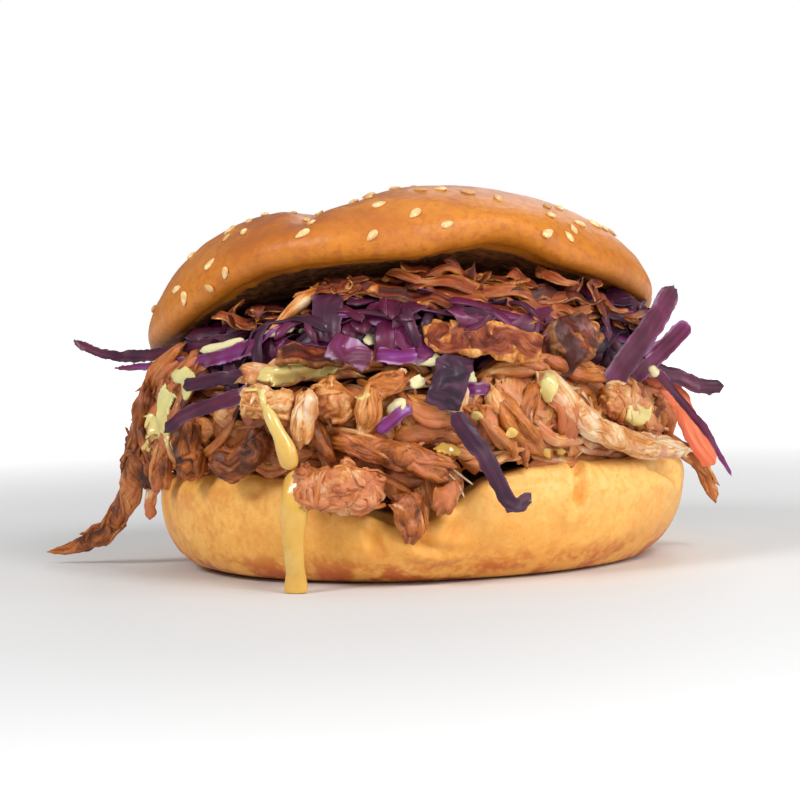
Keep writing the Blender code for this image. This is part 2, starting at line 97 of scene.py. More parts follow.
class SandwichSettings(bpy.types.PropertyGroup):
    """Sizes, amounts and colours of the food."""

    crust_voxel: bpy.props.FloatProperty(
        name="Bun mesh size", description="Size of the faces of the two buns", default=0.9 * MM,
        unit="LENGTH")
    torn_voxel: bpy.props.FloatProperty(
        name="Piece mesh size", description="Size of the faces of each loose piece", default=0.36 * MM,
        unit="LENGTH")
    seed_length: bpy.props.FloatProperty(
        name="Seed length", description="Length of a sesame seed", default=3.1 * MM, unit="LENGTH")
    pork_chunks: bpy.props.IntProperty(
        name="Pork chunks", description="Torn chunks laid over the pork", default=520)
    pork_shreds: bpy.props.IntProperty(
        name="Pork shreds", description="Thin shreds laid over the pork", default=620)
    cabbage_shreds: bpy.props.IntProperty(
        name="Cabbage shreds", description="Strips laid over the cabbage", default=330)
    rib_bits: bpy.props.IntProperty(
        name="Pale cabbage bits", description="Pale rib pieces among the cabbage", default=46)
    crust_top_colour: bpy.props.FloatVectorProperty(
        name="Top crust", description="Colour of the top bun's crust", default=(0.60, 0.21, 0.020),
        subtype="COLOR")
    crust_base_colour: bpy.props.FloatVectorProperty(
        name="Bottom crust", description="Colour of the bottom bun's crust", default=(0.92, 0.48, 0.095),
        subtype="COLOR")
    sauce_colour: bpy.props.FloatVectorProperty(
        name="Sauce", description="Colour of the mustard dressing", default=(0.68, 0.34, 0.026),
        subtype="COLOR")


class StageSettings(bpy.types.PropertyGroup):
    """Floor, lights and camera."""

    distance: bpy.props.FloatProperty(
        name="Camera distance", description="From the camera to the sandwich", default=0.6, unit="LENGTH")
    elevation: bpy.props.FloatProperty(
        name="Elevation", description="Height of the view above the horizon", default=math.radians(3),
        subtype="ANGLE")
    roll: bpy.props.FloatProperty(
        name="Roll", description="How far the camera leans", default=math.radians(2), subtype="ANGLE")
    lens: bpy.props.FloatProperty(
        name="Lens", description="Focal length in millimetres", default=125.5)
    target: bpy.props.FloatVectorProperty(
        name="Target", description="Point that the camera looks at", default=(-4.7 * MM, 0, 34.1 * MM),
        subtype="XYZ", unit="LENGTH")
    key_energy: bpy.props.FloatProperty(
        name="Key light", description="Power of the key light in watts", default=3.3)
    world_strength: bpy.props.FloatProperty(
        name="Surrounding light", description="Strength of the light from all round", default=0.27)


# ------------------------------------------------------------------ shader maths


def socket_name(key):
    """specular_ior_level to Specular IOR Level, the name of a shader's socket."""
    return key.replace("_", " ").title().replace("Ior", "IOR")


class Value:
    """A number socket. Arithmetic on it adds Math nodes."""

    def __init__(self, finish, socket):
        self.finish, self.socket = finish, socket

    def math(self, operation, *others, swapped=False):
        sources = [self, *others]
        if swapped:
            sources.reverse()
        node = self.finish.node("ShaderNodeMath", {"operation": operation}, dict(enumerate(sources)))
        return Value(self.finish, node.outputs[0])

    def __add__(self, other):
        return self.math("ADD", other)

    def __sub__(self, other):
        return self.math("SUBTRACT", other)

    def __rsub__(self, other):
        return self.math("SUBTRACT", other, swapped=True)

    def __mul__(self, other):
        return self.math("MULTIPLY", other)

    def __pow__(self, other):
        return self.math("POWER", other)

    __radd__, __rmul__ = __add__, __mul__

    def between(self, low, high):
        """0 below low, 1 above high, and smooth between them. low may be the higher one."""
        node = self.finish.node("ShaderNodeMapRange", {"interpolation_type": "SMOOTHSTEP"},
                                {"Value": self, "From Min": low, "From Max": high})
        return Value(self.finish, node.outputs["Result"])


class Finish:
    """A material with one Principled shader, and the nodes that feed it."""

    def __init__(self, name, **constants):
        self.material = bpy.data.materials.new(name)
        self.material.use_nodes = True
        self.tree = self.material.node_tree
        self.shader = self.tree.nodes["Principled BSDF"]
        for key, value in constants.items():
            self.shader.inputs[socket_name(key)].default_value = value

    def node(self, kind, settings, inputs):
        made = self.tree.nodes.new(kind)
        for key, value in settings.items():
            setattr(made, key, value)
        for key, value in inputs.items():
            source = value.socket if isinstance(value, Value) else value
            if isinstance(source, bpy.types.NodeSocket):
                self.tree.links.new(source, made.inputs[key])
            else:
                made.inputs[key].default_value = source
        return made

    def place(self):
        return self.node("ShaderNodeTexCoord", {}, {}).outputs["Object"]

    def number(self, name):
        return Value(self, self.node("ShaderNodeAttribute", {"attribute_name": name}, {}).outputs["Fac"])

    def vector(self, name):
        return self.node("ShaderNodeAttribute", {"attribute_name": name}, {}).outputs["Vector"]

    def grain(self, vector, size, detail=2.0, rough=0.5):
        """Noise whose lumps are about size across, in the vector's own unit."""
        node = self.node("ShaderNodeTexNoise", {},
                         {"Vector": vector, "Scale": 1 / size, "Detail": detail, "Roughness": rough})
        return Value(self, node.outputs["Fac"])

    def mixed(self, factor, first, second):
        def colour(value):
            return (*value, 1.0) if isinstance(value, tuple) and len(value) == 3 else value
        node = self.node("ShaderNodeMix", {"data_type": "RGBA"},
                         {0: factor, 6: colour(first), 7: colour(second)})
        return node.outputs[2]

    def ramp(self, factor, stops):
        """A colour ramp through (place, colour) stops."""
        node = self.node("ShaderNodeValToRGB", {}, {"Fac": factor})
        elements = node.color_ramp.elements
        while len(elements) < len(stops):
            elements.new(0.5)
        for element, (place, colour) in zip(elements, stops):
            element.position = place
            element.color = (*colour, 1.0)
        return node.outputs["Color"]

    def feed(self, **sockets):
        for key, value in sockets.items():
            source = value.socket if isinstance(value, Value) else value
            self.tree.links.new(source, self.shader.inputs[socket_name(key)])
        return self

    def bumped(self, height, depth, strength=1.0):
        """Relief of that depth in metres, from a height of 0 to 1."""
        node = self.node("ShaderNodeBump", {}, {"Height": height, "Distance": depth, "Strength": strength})
        self.tree.links.new(node.outputs["Normal"], self.shader.inputs["Normal"])
        return self


def crust_finish(name, colour, dark, golden, foot):
    """Glazed crust: darker bakes, a golden band and stains, with open crumb where crumb is 1. On the bottom
    bun the golden band also paints the right side lighter as painted light, and the stains also paint the left
    side darker as painted shade. The crumb is painted nearly black-brown: toasted, and darker still as painted
    shade under the lid and the filling.
    """
    finish = Finish(name, subsurface_weight=0.1, subsurface_scale=1.2 * MM, coat_roughness=0.34,
                    specular_ior_level=0.35)
    finish.shader.inputs["Subsurface Radius"].default_value = (1.0, 0.4, 0.15)
    place = finish.place()
    broad = finish.grain(place, 20 * MM, 3.0, 0.55)
    blotch = finish.grain(place, 6 * MM, 3.0, 0.6)
    fine = finish.grain(place, 1.5 * MM, 4.0, 0.65)
    speck = finish.grain(place, 0.6 * MM, 2.0, 0.7)
    crumb, bake = finish.number("crumb"), finish.number("bake")
    tone = finish.mixed(broad.between(0.36, 0.68), colour, dark)
    # Golden band; on the bottom bun it also paints the right side lighter as painted light.
    tone = finish.mixed(bake, tone, golden)
    tone = finish.mixed(blotch.between(0.48, 0.7) * 0.45, tone, dark)
    tone = finish.mixed(fine.between(0.46, 0.66) * 0.5, tone, dark)
    tone = finish.mixed(fine.between(0.48, 0.3) * 0.3, tone, golden)
    tone = finish.mixed(speck.between(0.6, 0.74) * 0.3, tone, foot)
    # Stains; on the bottom bun they also paint the left side darker as painted shade.
    tone = finish.mixed(finish.number("stain") * blotch.between(0.38, 0.6), tone, foot)
    pores = finish.grain(place, 1.6 * MM, 3.0, 0.6)
    # Open crumb painted nearly black-brown: toasted, and darker still as painted shade under the lid and the
    # filling.
    inside = finish.mixed(pores.between(0.35, 0.6), (0.075, 0.018, 0.004), (0.24, 0.082, 0.018))
    inside = finish.mixed(broad.between(0.5, 0.7) * 0.7, inside, (0.05, 0.013, 0.004))
    finish.feed(base_color=finish.mixed(crumb, tone, inside),
                roughness=0.40 + 0.18 * fine + 0.25 * crumb,
                coat_weight=0.14 * (1 - crumb) * (0.3 + broad.between(0.25, 0.65)))
    return finish.bumped(0.6 * fine + 0.3 * speck + 0.8 * blotch + crumb * pores * 2.0, 0.28 * MM, 0.8)


def pork_finish():
    """Moist fibres: streaks follow the point vector grain, and the point value tone picks the cut and also
    carries painted shade and painted light.
    """
    finish = Finish("pulled_pork", subsurface_weight=0.18, subsurface_scale=1.0 * MM, coat_roughness=0.14,
                    specular_ior_level=0.34)
    finish.shader.inputs["Subsurface Radius"].default_value = (1.0, 0.3, 0.15)
    grain, place = finish.vector("grain"), finish.place()
    streak = finish.grain(grain, 0.6 * MM, 3.0, 0.6)
    fibre = finish.grain(grain, 0.25 * MM, 2.0, 0.5)
    patch = finish.grain(place, 3.6 * MM, 3.0, 0.6)
    broad = finish.grain(place, 11 * MM, 2.0)
    level = (finish.number("tone") + 0.7 * (streak - 0.5) + 0.45 * (fibre - 0.5) + 0.6 * (patch - 0.5)
             + 0.3 * (broad - 0.5))
    meat = finish.ramp(level, (
        (0.0, (0.050, 0.010, 0.002)), (0.16, (0.125, 0.027, 0.004)), (0.34, (0.28, 0.068, 0.009)),
        (0.5, (0.46, 0.138, 0.021)), (0.66, (0.60, 0.24, 0.055)), (0.82, (0.70, 0.40, 0.17)),
        (1.0, (0.80, 0.62, 0.42))))
    glaze = finish.grain(place, 5.5 * MM, 2.0)
    # Glaze and pink are kept off the darkest tones, which are painted shade.
    clear_of_painted_shade = finish.number("tone").between(0.08, 0.3)
    meat = finish.mixed(glaze.between(0.52, 0.68) * clear_of_painted_shade * 0.6, meat, (0.46, 0.125, 0.010))
    pink = finish.grain(place, 4 * MM, 3.0)
    meat = finish.mixed((pink + 0.3 * finish.number("rim")).between(0.55, 0.8) * clear_of_painted_shade * 0.75, meat,
                        (0.56, 0.17, 0.068))
    finish.feed(base_color=meat, roughness=0.30 + 0.25 * streak,
                coat_weight=0.03 + 0.42 * patch.between(0.48, 0.62) * finish.number("tone").between(0.15, 0.5))
    return finish.bumped(0.7 * streak + 0.5 * fibre, 0.3 * MM, 0.9)


def cabbage_finish():
    """Waxy violet skin with paler cut edges (point value rim), veins along the grain."""
    finish = Finish("red_cabbage", subsurface_weight=0.06, subsurface_scale=0.8 * MM, coat_roughness=0.2,
                    specular_ior_level=0.3)
    finish.shader.inputs["Subsurface Radius"].default_value = (0.8, 0.3, 0.8)
    grain, place = finish.vector("grain"), finish.place()
    vein = finish.grain(grain, 0.7 * MM, 3.0, 0.55)
    patch = finish.grain(place, 5 * MM, 2.0)
    tone, rim = finish.number("tone"), finish.number("rim")
    level = tone + 0.34 * (vein - 0.5) + 0.5 * (patch - 0.5)
    skin = finish.ramp(level, (
        (0.0, (0.016, 0.003, 0.014)), (0.25, (0.042, 0.005, 0.024)), (0.45, (0.088, 0.006, 0.028)),
        (0.62, (0.140, 0.008, 0.062)), (0.78, (0.18, 0.020, 0.17)), (0.9, (0.30, 0.13, 0.34)),
        (1.0, (0.72, 0.64, 0.34))))
    edge = finish.mixed(tone.between(0.2, 0.8), (0.10, 0.03, 0.07), (0.55, 0.34, 0.52))
    finish.feed(base_color=finish.mixed((rim + 0.6 * (patch - 0.5)).between(0.7, 1.0) * 0.6, skin, edge),
                roughness=0.34 + 0.25 * vein, coat_weight=0.08 + 0.34 * patch.between(0.4, 0.65))
    return finish.bumped(0.8 * vein + 0.2 * patch, 0.25 * MM, 0.9)


def bacon_finish():
    """Dry pink-brown middle with lean streaks, and a tan to orange crisp rim."""
    finish = Finish("crisp_bacon", subsurface_weight=0.06, subsurface_scale=0.8 * MM, coat_roughness=0.25,
                    specular_ior_level=0.32)
    grain, place = finish.vector("grain"), finish.place()
    streak = finish.grain(grain, 1.1 * MM, 3.0, 0.6)
    blister = finish.grain(place, 1.3 * MM, 3.0, 0.6)
    patch = finish.grain(place, 5 * MM, 2.0, 0.6)
    tone, rim = finish.number("tone"), finish.number("rim")
    lean = finish.ramp(streak + 0.5 * (patch - 0.5) + 0.5 * (tone - 0.5), (
        (0.25, (0.050, 0.007, 0.003)), (0.42, (0.13, 0.017, 0.005)), (0.56, (0.23, 0.043, 0.012)),
        (0.7, (0.33, 0.088, 0.024)), (0.86, (0.50, 0.21, 0.085))))
    crisp = finish.ramp(blister + 0.4 * (patch - 0.5), (
        (0.3, (0.22, 0.045, 0.005)), (0.46, (0.46, 0.145, 0.018)), (0.6, (0.62, 0.27, 0.065)),
        (0.8, (0.78, 0.47, 0.2))))
    finish.feed(base_color=finish.mixed((rim + 1.3 * (patch - 0.5)).between(0.36, 0.8)
                                        * (0.3 + 0.7 * tone.between(0.0, 0.4)), lean, crisp),
                roughness=0.34 + 0.25 * blister, coat_weight=0.25 * patch.between(0.4, 0.7))
    return finish.bumped(blister * 0.8 + streak * 0.6, 0.32 * MM, 0.9)


def carrot_finish():
    finish = Finish("carrot", subsurface_weight=0.3, subsurface_scale=1.2 * MM, coat_roughness=0.2)
    finish.shader.inputs["Subsurface Radius"].default_value = (1.0, 0.3, 0.1)
    streak = finish.grain(finish.vector("grain"), 0.9 * MM, 3.0)
    patch = finish.grain(finish.place(), 5 * MM)
    finish.feed(base_color=finish.mixed(streak.between(0.3, 0.7), (0.72, 0.13, 0.045), (0.84, 0.22, 0.08)),
                roughness=0.32 + 0.2 * patch)
    return finish.bumped(streak, 0.2 * MM, 0.7)


def sauce_finish(colour):
    finish = Finish("mustard_dressing", subsurface_weight=0.15, subsurface_scale=1.2 * MM, coat_weight=0.5,
                    coat_roughness=0.06)
    finish.shader.inputs["Subsurface Radius"].default_value = (1.0, 0.8, 0.3)
    place = finish.place()
    patch = finish.grain(place, 5 * MM, 3.0)
    speck = finish.grain(place, 0.6 * MM, 1.0)
    pale = finish.mixed(finish.number("tone"), colour, (0.66, 0.61, 0.25))
    pale = finish.mixed(patch.between(0.5, 0.8) * 0.5, pale, (0.70, 0.52, 0.17))
    finish.feed(base_color=finish.mixed(speck.between(0.66, 0.8) * 0.4, pale, (0.45, 0.25, 0.04)),
                roughness=0.16 + 0.16 * patch)
    return finish.bumped(patch, 0.25 * MM, 0.5)


def seed_finish():
    finish = Finish("sesame", subsurface_weight=0.2, subsurface_scale=0.6 * MM, coat_roughness=0.3)
    place = finish.place()
    patch = finish.grain(place, 1.2 * MM, 2.0)
    tone = finish.mixed(patch.between(0.35, 0.65), (0.70, 0.42, 0.16), (0.86, 0.66, 0.34))
    tone = finish.mixed(finish.number("tone").between(0.55, 1.0) * 0.75, tone, (0.46, 0.20, 0.055))
    finish.feed(base_color=tone, roughness=0.38 + 0.2 * patch)
    return finish.bumped(patch, 0.1 * MM, 0.6)


# ------------------------------------------------------------------ mesh helpers


def activate(obj):
    bpy.ops.object.select_all(action="DESELECT")
    obj.select_set(True)
    bpy.context.view_layer.objects.active = obj


def new_object(name, mesh):
    obj = bpy.data.objects.new(name, mesh)
    bpy.context.scene.collection.objects.link(obj)
    return obj


def object_from(name, points, faces):
    """A new object with a mesh of these points and faces."""
    mesh = bpy.data.meshes.new(name)
    mesh.from_pydata(points, [], faces)
    return new_object(name, mesh)


def edit_whole(obj, operator, **settings):
    """Runs one edit operator on everything in the object's mesh."""
    activate(obj)
    bpy.ops.object.mode_set(mode="EDIT")
    bpy.ops.mesh.select_all(action="SELECT")
    operator(**settings)
    bpy.ops.object.mode_set(mode="OBJECT")


def shape_with(obj, kind, **settings):
    """Adds a modifier with these settings and applies it."""
    activate(obj)
    modifier = obj.modifiers.new("shape", kind)
    for key, value in settings.items():
        setattr(modifier, key, value)
    bpy.ops.object.modifier_apply(modifier=modifier.name)


def carried(name, node):
    """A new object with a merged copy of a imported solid's mesh."""
    obj = new_object(name, NODES[node].data.copy())
    obj.data.materials.clear()
    for attribute in [a for a in obj.data.attributes if a.name.startswith("UV")]:
        obj.data.attributes.remove(attribute)
    edit_whole(obj, bpy.ops.mesh.remove_doubles, threshold=MERGE_DISTANCE)
    return obj


def smooth_body(obj, voxel, rounds):
    """Even small faces with the facets of the solid rounded off."""
    shape_with(obj, "REMESH", mode="VOXEL", voxel_size=voxel)
    shape_with(obj, "SMOOTH", factor=0.5, iterations=rounds)


def points_of(obj):
    flat = np.empty(len(obj.data.vertices) * 3, np.float32)
    obj.data.vertices.foreach_get("co", flat)
    return flat.reshape(-1, 3).astype(np.float64)


def normals_of(obj):
    flat = np.empty(len(obj.data.vertices) * 3, np.float32)
    obj.data.vertices.foreach_get("normal", flat)
    return flat.reshape(-1, 3).astype(np.float64)


def set_points(obj, points):
    obj.data.vertices.foreach_set("co", np.asarray(points, np.float32).ravel())
    obj.data.update()


def mark(obj, **values):
    """Stores a number or a vector on each point, for the materials."""
    for name, rows in values.items():
        rows = np.asarray(rows, np.float32)
        kind, field = ("FLOAT_VECTOR", "vector") if rows.ndim == 2 else ("FLOAT", "value")
        attribute = obj.data.attributes.new(name, kind, "POINT")
        attribute.data.foreach_set(field, rows.ravel())


def lumps(points, size, seed):
    """Smooth noise from -1 to 1 at each point."""
    shift = Vector((seed, 1.7 * seed, -2.3 * seed))
    return np.array([noise.noise(Vector(point) / size + shift) for point in points])


def smooth_step(low, high, value):
    share = np.clip((value - low) / (high - low), 0, 1)
    return share * share * (3 - 2 * share)


def done(obj, finish, slot_name, *nodes):
    """Gives a finished piece its material and body, and hides the solids that it stands for. slot_name is not
    used.
    """
    obj.data.materials.append(finish.material)
    obj.data.shade_smooth()
    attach(obj, "root")
    if nodes:
        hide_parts(*nodes)
    return obj


def surface_tree(*objects):
    """One search tree over the faces of several objects."""
    points, faces = [], []
    for obj in objects:
        start = len(points)
        points += [vert.co.copy() for vert in obj.data.vertices]
        faces += [[start + i for i in face.vertices] for face in obj.data.polygons]
    return BVHTree.FromPolygons(points, faces)


# ------------------------------------------------------------------ middle line of a long piece


def middle_line(node, points):
    """Points along the middle of a long solid. points lie all over its fine mesh."""
    shape = bmesh.new()
    shape.from_mesh(NODES[node].data)
    bmesh.ops.remove_doubles(shape, verts=shape.verts, dist=MERGE_DISTANCE)
    shape.verts.ensure_lookup_table()

    def reach(start):
        found = {}
        waiting = [(0.0, start)]
        while waiting:
            way, i = heapq.heappop(waiting)
            if i in found:
                continue
            found[i] = way
            for edge in shape.verts[i].link_edges:
                j = edge.other_vert(shape.verts[i]).index
                if j not in found:
                    heapq.heappush(waiting, (way + edge.calc_length(), j))
        return found

    first = max(reach(0).items(), key=lambda item: item[1])[0]
    ways = reach(first)
    longest = max(ways.values())
    count = max(3, int(longest / (4 * MM)))
    groups = [[] for _ in range(count)]
    for i, way in ways.items():
        groups[min(count - 1, int(way / longest * count))].append(shape.verts[i].co)
    line = np.array([tuple(sum(group, Vector()) / len(group)) for group in groups if group])
    shape.free()
    for _ in range(3):
        way, _, _, length = along_line(line, points)
        count = max(3, int(length / (2.5 * MM)))
        slab = np.minimum((way / length * count).astype(int), count - 1)
        line = np.array([points[slab == i].mean(axis=0) for i in range(count) if (slab == i).any()])
        line = np.vstack([2 * line[0] - line[1], line, 2 * line[-1] - line[-2]])
    return line


def along_line(line, points):
    """For each point: its way along the line, its offset from it, and the line's direction there."""
    best = np.full(len(points), np.inf)
    way = np.zeros(len(points))
    offset = np.zeros_like(points)
    heading = np.zeros_like(points)
    gone = 0.0
    for start, end in zip(line[:-1], line[1:]):
        run = end - start
        length = np.linalg.norm(run)
        share = np.clip((points - start) @ run / length ** 2, 0, 1)
        gap = points - start - share[:, None] * run
        size = np.linalg.norm(gap, axis=1)
        nearer = size < best
        best[nearer] = size[nearer]
        way[nearer] = gone + share[nearer] * length
        offset[nearer] = gap[nearer]
        heading[nearer] = run / length
        gone += length
    return way, offset, heading, gone


class Spine:
    """A long piece's own directions. Each point has its way along, its place across and through."""

    def __init__(self, node, points):
        self.way, offset, heading, self.length = along_line(middle_line(node, points), points)
        places = np.linspace(0, self.length, max(4, int(self.length / (1.5 * MM))))
        aheads, wides, halves = [], [], []
        for place in places:
            weight = np.exp(-((self.way - place) / (2.2 * MM)) ** 2)[:, None] + 1e-9
            ahead = (heading * weight).sum(axis=0)
            ahead /= np.linalg.norm(ahead)
            level = offset - np.outer(offset @ ahead, ahead)
            sizes, axes = np.linalg.eigh((level * weight).T @ level)
            wide = axes[:, 2]
            if wides:
                flatness = 1 - sizes[1] / sizes[2]
                wide = wide * (flatness if wide @ wides[-1] >= 0 else -flatness) + wides[-1]
            wide = wide - ahead * (wide @ ahead)
            wide /= np.linalg.norm(wide)
            aheads.append(ahead)
            wides.append(wide)
            halves.append(1.6 * math.sqrt(((offset @ wide) ** 2 * weight[:, 0]).sum() / weight.sum()))

        def spread(rows):
            rows = np.array(rows)
            result = np.stack([np.interp(self.way, places, rows[:, i]) for i in range(3)], axis=1)
            return result / np.linalg.norm(result, axis=1)[:, None]

        self.ahead, self.wide = spread(aheads), spread(wides)
        self.thin = np.cross(self.ahead, self.wide)
        self.across = (offset * self.wide).sum(axis=1)
        self.through = (offset * self.thin).sum(axis=1)
        self.side = np.minimum(np.abs(self.across) / np.interp(self.way, places, halves), 1.2)
        self.end = np.clip(1 - (np.minimum(self.way, self.length - self.way) - 1.2 * MM) / (3 * MM), 0, 1)

    def grain(self, stretch):
        """A place in the piece that changes slowly along it, so that noise there makes fibres."""
        return np.stack([self.across, self.through, stretch * self.way], axis=1)

    def sides_apart(self):
        """The way along the piece, with its two sides far apart, for waves that differ on them."""
        return np.stack([self.way, np.sign(self.across) * 9 * MM, 0 * self.way], axis=1)


# ------------------------------------------------------------------ shreds


class Shreds:
    """Collects many lofted shreds into one mesh."""

    def __init__(self, sides):
        self.sides = sides
        self.points, self.faces, self.tone, self.grain, self.rim = [], [], [], [], []
        self.count = 0
        turns = np.linspace(0, 2 * math.pi, sides, endpoint=False)
        self.cos, self.sin = np.cos(turns), np.sin(turns)

    def add(self, line, outward, width, thickness, tone, rng, square=1.0, ridges=0.0, ragged=0.0, twist=0.0,
            blunt=3.0, cup=0.0, pink=None, uneven=0.0):
        """Lofts one shred along a line. Widths are its whole width and thickness in metres."""
        line, outward = np.asarray(line), np.asarray(outward)
        rings = len(line)
        ahead = np.gradient(line, axis=0)
        ahead /= np.linalg.norm(ahead, axis=1)[:, None] + 1e-12
        side = np.cross(ahead, outward)
        side /= np.linalg.norm(side, axis=1)[:, None] + 1e-12
        face = np.cross(side, ahead)
        share = np.linspace(0, 1, rings)
        turn = twist * (share - 0.5)
        side, face = (side * np.cos(turn)[:, None] + face * np.sin(turn)[:, None],
                      face * np.cos(turn)[:, None] - side * np.sin(turn)[:, None])
        girth = np.sqrt(np.clip(1 - np.abs(2 * share - 1) ** blunt, 0.0, 1)) * 0.92 + 0.08
        swell = rng.uniform(0, 7, 2)
        girth = girth * (1 + uneven * (np.sin(7 * share + swell[0]) + 0.7 * np.sin(17 * share + swell[1])))
        across = np.sign(self.cos) * np.abs(self.cos) ** square
        through = np.sign(self.sin) * np.abs(self.sin) ** square
        phase = rng.uniform(0, 7, 3)
        turns = np.arctan2(self.sin, self.cos)
        flutes = 1 + ridges * (np.cos(5 * turns[None] + phase[0] + 2.2 * share[:, None])
                               + 0.7 * np.cos(8 * turns[None] + phase[1] - 3 * share[:, None])
                               + 0.6 * np.cos(2 * turns[None] + phase[2] + 5 * share[:, None]))
        u = across[None] * girth[:, None] * flutes * width / 2
        v = through[None] * girth[:, None] * flutes * thickness / 2
        v = v + cup * (across[None] ** 2 - 0.5) * width / 2
        points = line[:, None] + u[..., None] * side[:, None] + v[..., None] * face[:, None]
        fray = rng.normal(0, 1, self.sides) * ragged
        ends = (np.abs(2 * share - 1) ** 3) * np.sign(2 * share - 1)
        points = points + (ends[:, None] * np.abs(fray)[None])[..., None] * ahead[:, None]
        start = self.count
        self.points.append(points.reshape(-1, 3))
        index = start + np.arange(rings * self.sides).reshape(rings, self.sides)
        after = np.roll(index, -1, axis=1)
        quads = np.stack([index[:-1], after[:-1], after[1:], index[1:]], axis=-1).reshape(-1, 4)
        self.faces += quads.tolist()
        self.faces += [index[0, ::-1].tolist(), index[-1].tolist()]
        self.count += rings * self.sides
        length = np.linalg.norm(np.diff(line, axis=0), axis=1).sum()
        shift = rng.uniform(0, 0.05, 3)
        grain = np.stack([u, v, np.broadcast_to((share * length * 0.12)[:, None], u.shape)], axis=-1) + shift
        self.grain.append(grain.reshape(-1, 3))
        self.tone.append(np.full(rings * self.sides, tone))
        rim = np.abs(across)[None] ** 6 if pink is None else np.array([[pink]])
        self.rim.append(np.broadcast_to(rim, u.shape).ravel())

    def build(self, name):
        """One object of all the shreds, with their values for the materials."""
        obj = object_from(name, np.concatenate(self.points).tolist(), self.faces)
        shape = bmesh.new()
        shape.from_mesh(obj.data)
        bmesh.ops.recalc_face_normals(shape, faces=shape.faces)
        shape.to_mesh(obj.data)
        shape.free()
        mark(obj, tone=np.concatenate(self.tone), grain=np.concatenate(self.grain),
             rim=np.concatenate(self.rim))
        return obj


def smooth_route(points, count):
    """Evenly spread points on a smooth curve through a few given ones."""
    points = [Vector(p) * MM for p in points]
    result = []
    for i in range(count):
        place = i / (count - 1) * (len(points) - 1)
        k = min(int(place), len(points) - 2)
        t = place - k
        a, b = points[max(k - 1, 0)], points[k]
        c, d = points[k + 1], points[min(k + 2, len(points) - 1)]
        result.append(0.5 * (2 * b + (c - a) * t + (2 * a - 5 * b + 4 * c - d) * t * t
                             + (3 * b - a - 3 * c + d) * t ** 3))
    return result


def crawl(tree, start, heading, length, steps, lift, wander, sag, rng):
    """The middle line of a shred that lies on a surface, and the outward direction along it.

    lift gives its height over the surface at each share of its length.
    """
    place, ahead = Vector(start), Vector(heading)
    line, outs = [], []
    bend = rng.normal(0, wander)
    for i in range(steps + 1):
        near, out, _, _ = tree.find_nearest(place)
        share = i / steps
        if outs:
            out = (out * 0.45 + outs[-1] * 0.55).normalized()
        line.append(near + out * lift(share))
        outs.append(out)
        ahead = Quaternion(out, bend / steps + rng.normal(0, wander * 0.25) / steps) @ ahead
        ahead += DOWN * sag / steps
        ahead = (ahead - out * ahead.dot(out)).normalized()
        place = near + ahead * (length / steps)
    return [tuple(p) for p in line], [tuple(o) for o in outs]


def scatter_spots(obj, count, rng, keep):
    """Random points on an object's faces, by area, where keep(point, normal) is true."""
    mesh = obj.data
    mesh.calc_loop_triangles()
    triangles = np.array([t.vertices for t in mesh.loop_triangles])
    corners = points_of(obj)[triangles]
    cross = np.cross(corners[:, 1] - corners[:, 0], corners[:, 2] - corners[:, 0])
    area = np.linalg.norm(cross, axis=1)
    normals = cross / (area[:, None] + 1e-18)
    middles = corners.mean(axis=1)
    allowed = np.array([keep(p, n) for p, n in zip(middles, normals)], float)
    weight = area * allowed
    picks = rng.choice(len(area), size=count, p=weight / weight.sum())
    u, v = rng.random(count), rng.random(count)
    flip = u + v > 1
    u[flip], v[flip] = 1 - u[flip], 1 - v[flip]
    spots = (corners[picks, 0] * (1 - u - v)[:, None] + corners[picks, 1] * u[:, None]
             + corners[picks, 2] * v[:, None])
    return list(zip(spots, normals[picks]))


def side_heading(normal, rng, upright):
    """A random direction along a surface: mostly level, or more up and down as upright grows."""
    out = Vector(normal)
    level = out.cross(Vector((0, 0, 1)))
    if level.length < 0.2:
        level = out.cross(Vector((1, 0, 0)))
    level.normalize()
    rise = out.cross(level).normalized()
    angle = rng.normal(0, upright)
    flip = 1 if rng.random() < 0.5 else -1
    return level * math.cos(angle) * flip + rise * math.sin(angle)


# ------------------------------------------------------------------ buns


def cut_face(node, upwards):
    """Middle and outward direction of a bun's flat cut side."""
    mesh = NODES[node].data
    sign = 1 if upwards else -1
    total, middle, direction = 0.0, Vector(), Vector()
    for face in mesh.polygons:
        if face.normal.z * sign > 0.9 and (upwards is False or face.center.z > 15 * MM):
            total += face.area
            middle += face.center * face.area
            direction += face.normal * face.area
    return middle / total, direction.normalized()


def wrinkle(points, height, start, end, width, depth):
    """Lowers height along a line in space, and lifts a soft lip beside it."""
    start, end = np.array(start) * MM, np.array(end) * MM
    run = end - start
    share = np.clip((points - start) @ run / (run @ run), 0, 1)
    gap = points - start - share[:, None] * run
    size = np.linalg.norm(gap, axis=1)
    fade = np.sin(np.pi * np.clip(share * 0.9 + 0.05, 0, 1)) ** 0.5
    groove = np.exp(-(size / (width * MM)) ** 2)
    lip = np.exp(-((size - 2.0 * width * MM) / (1.2 * width * MM)) ** 2)
    return height - depth * MM * fade * (groove - 0.35 * lip)


# Waves of the lip at the front: place across, half width and lift in millimetres
TOP_LIP_WAVES = ((20, 7, 1.7), (2, 9, -1.0), (36, 8, -0.6))
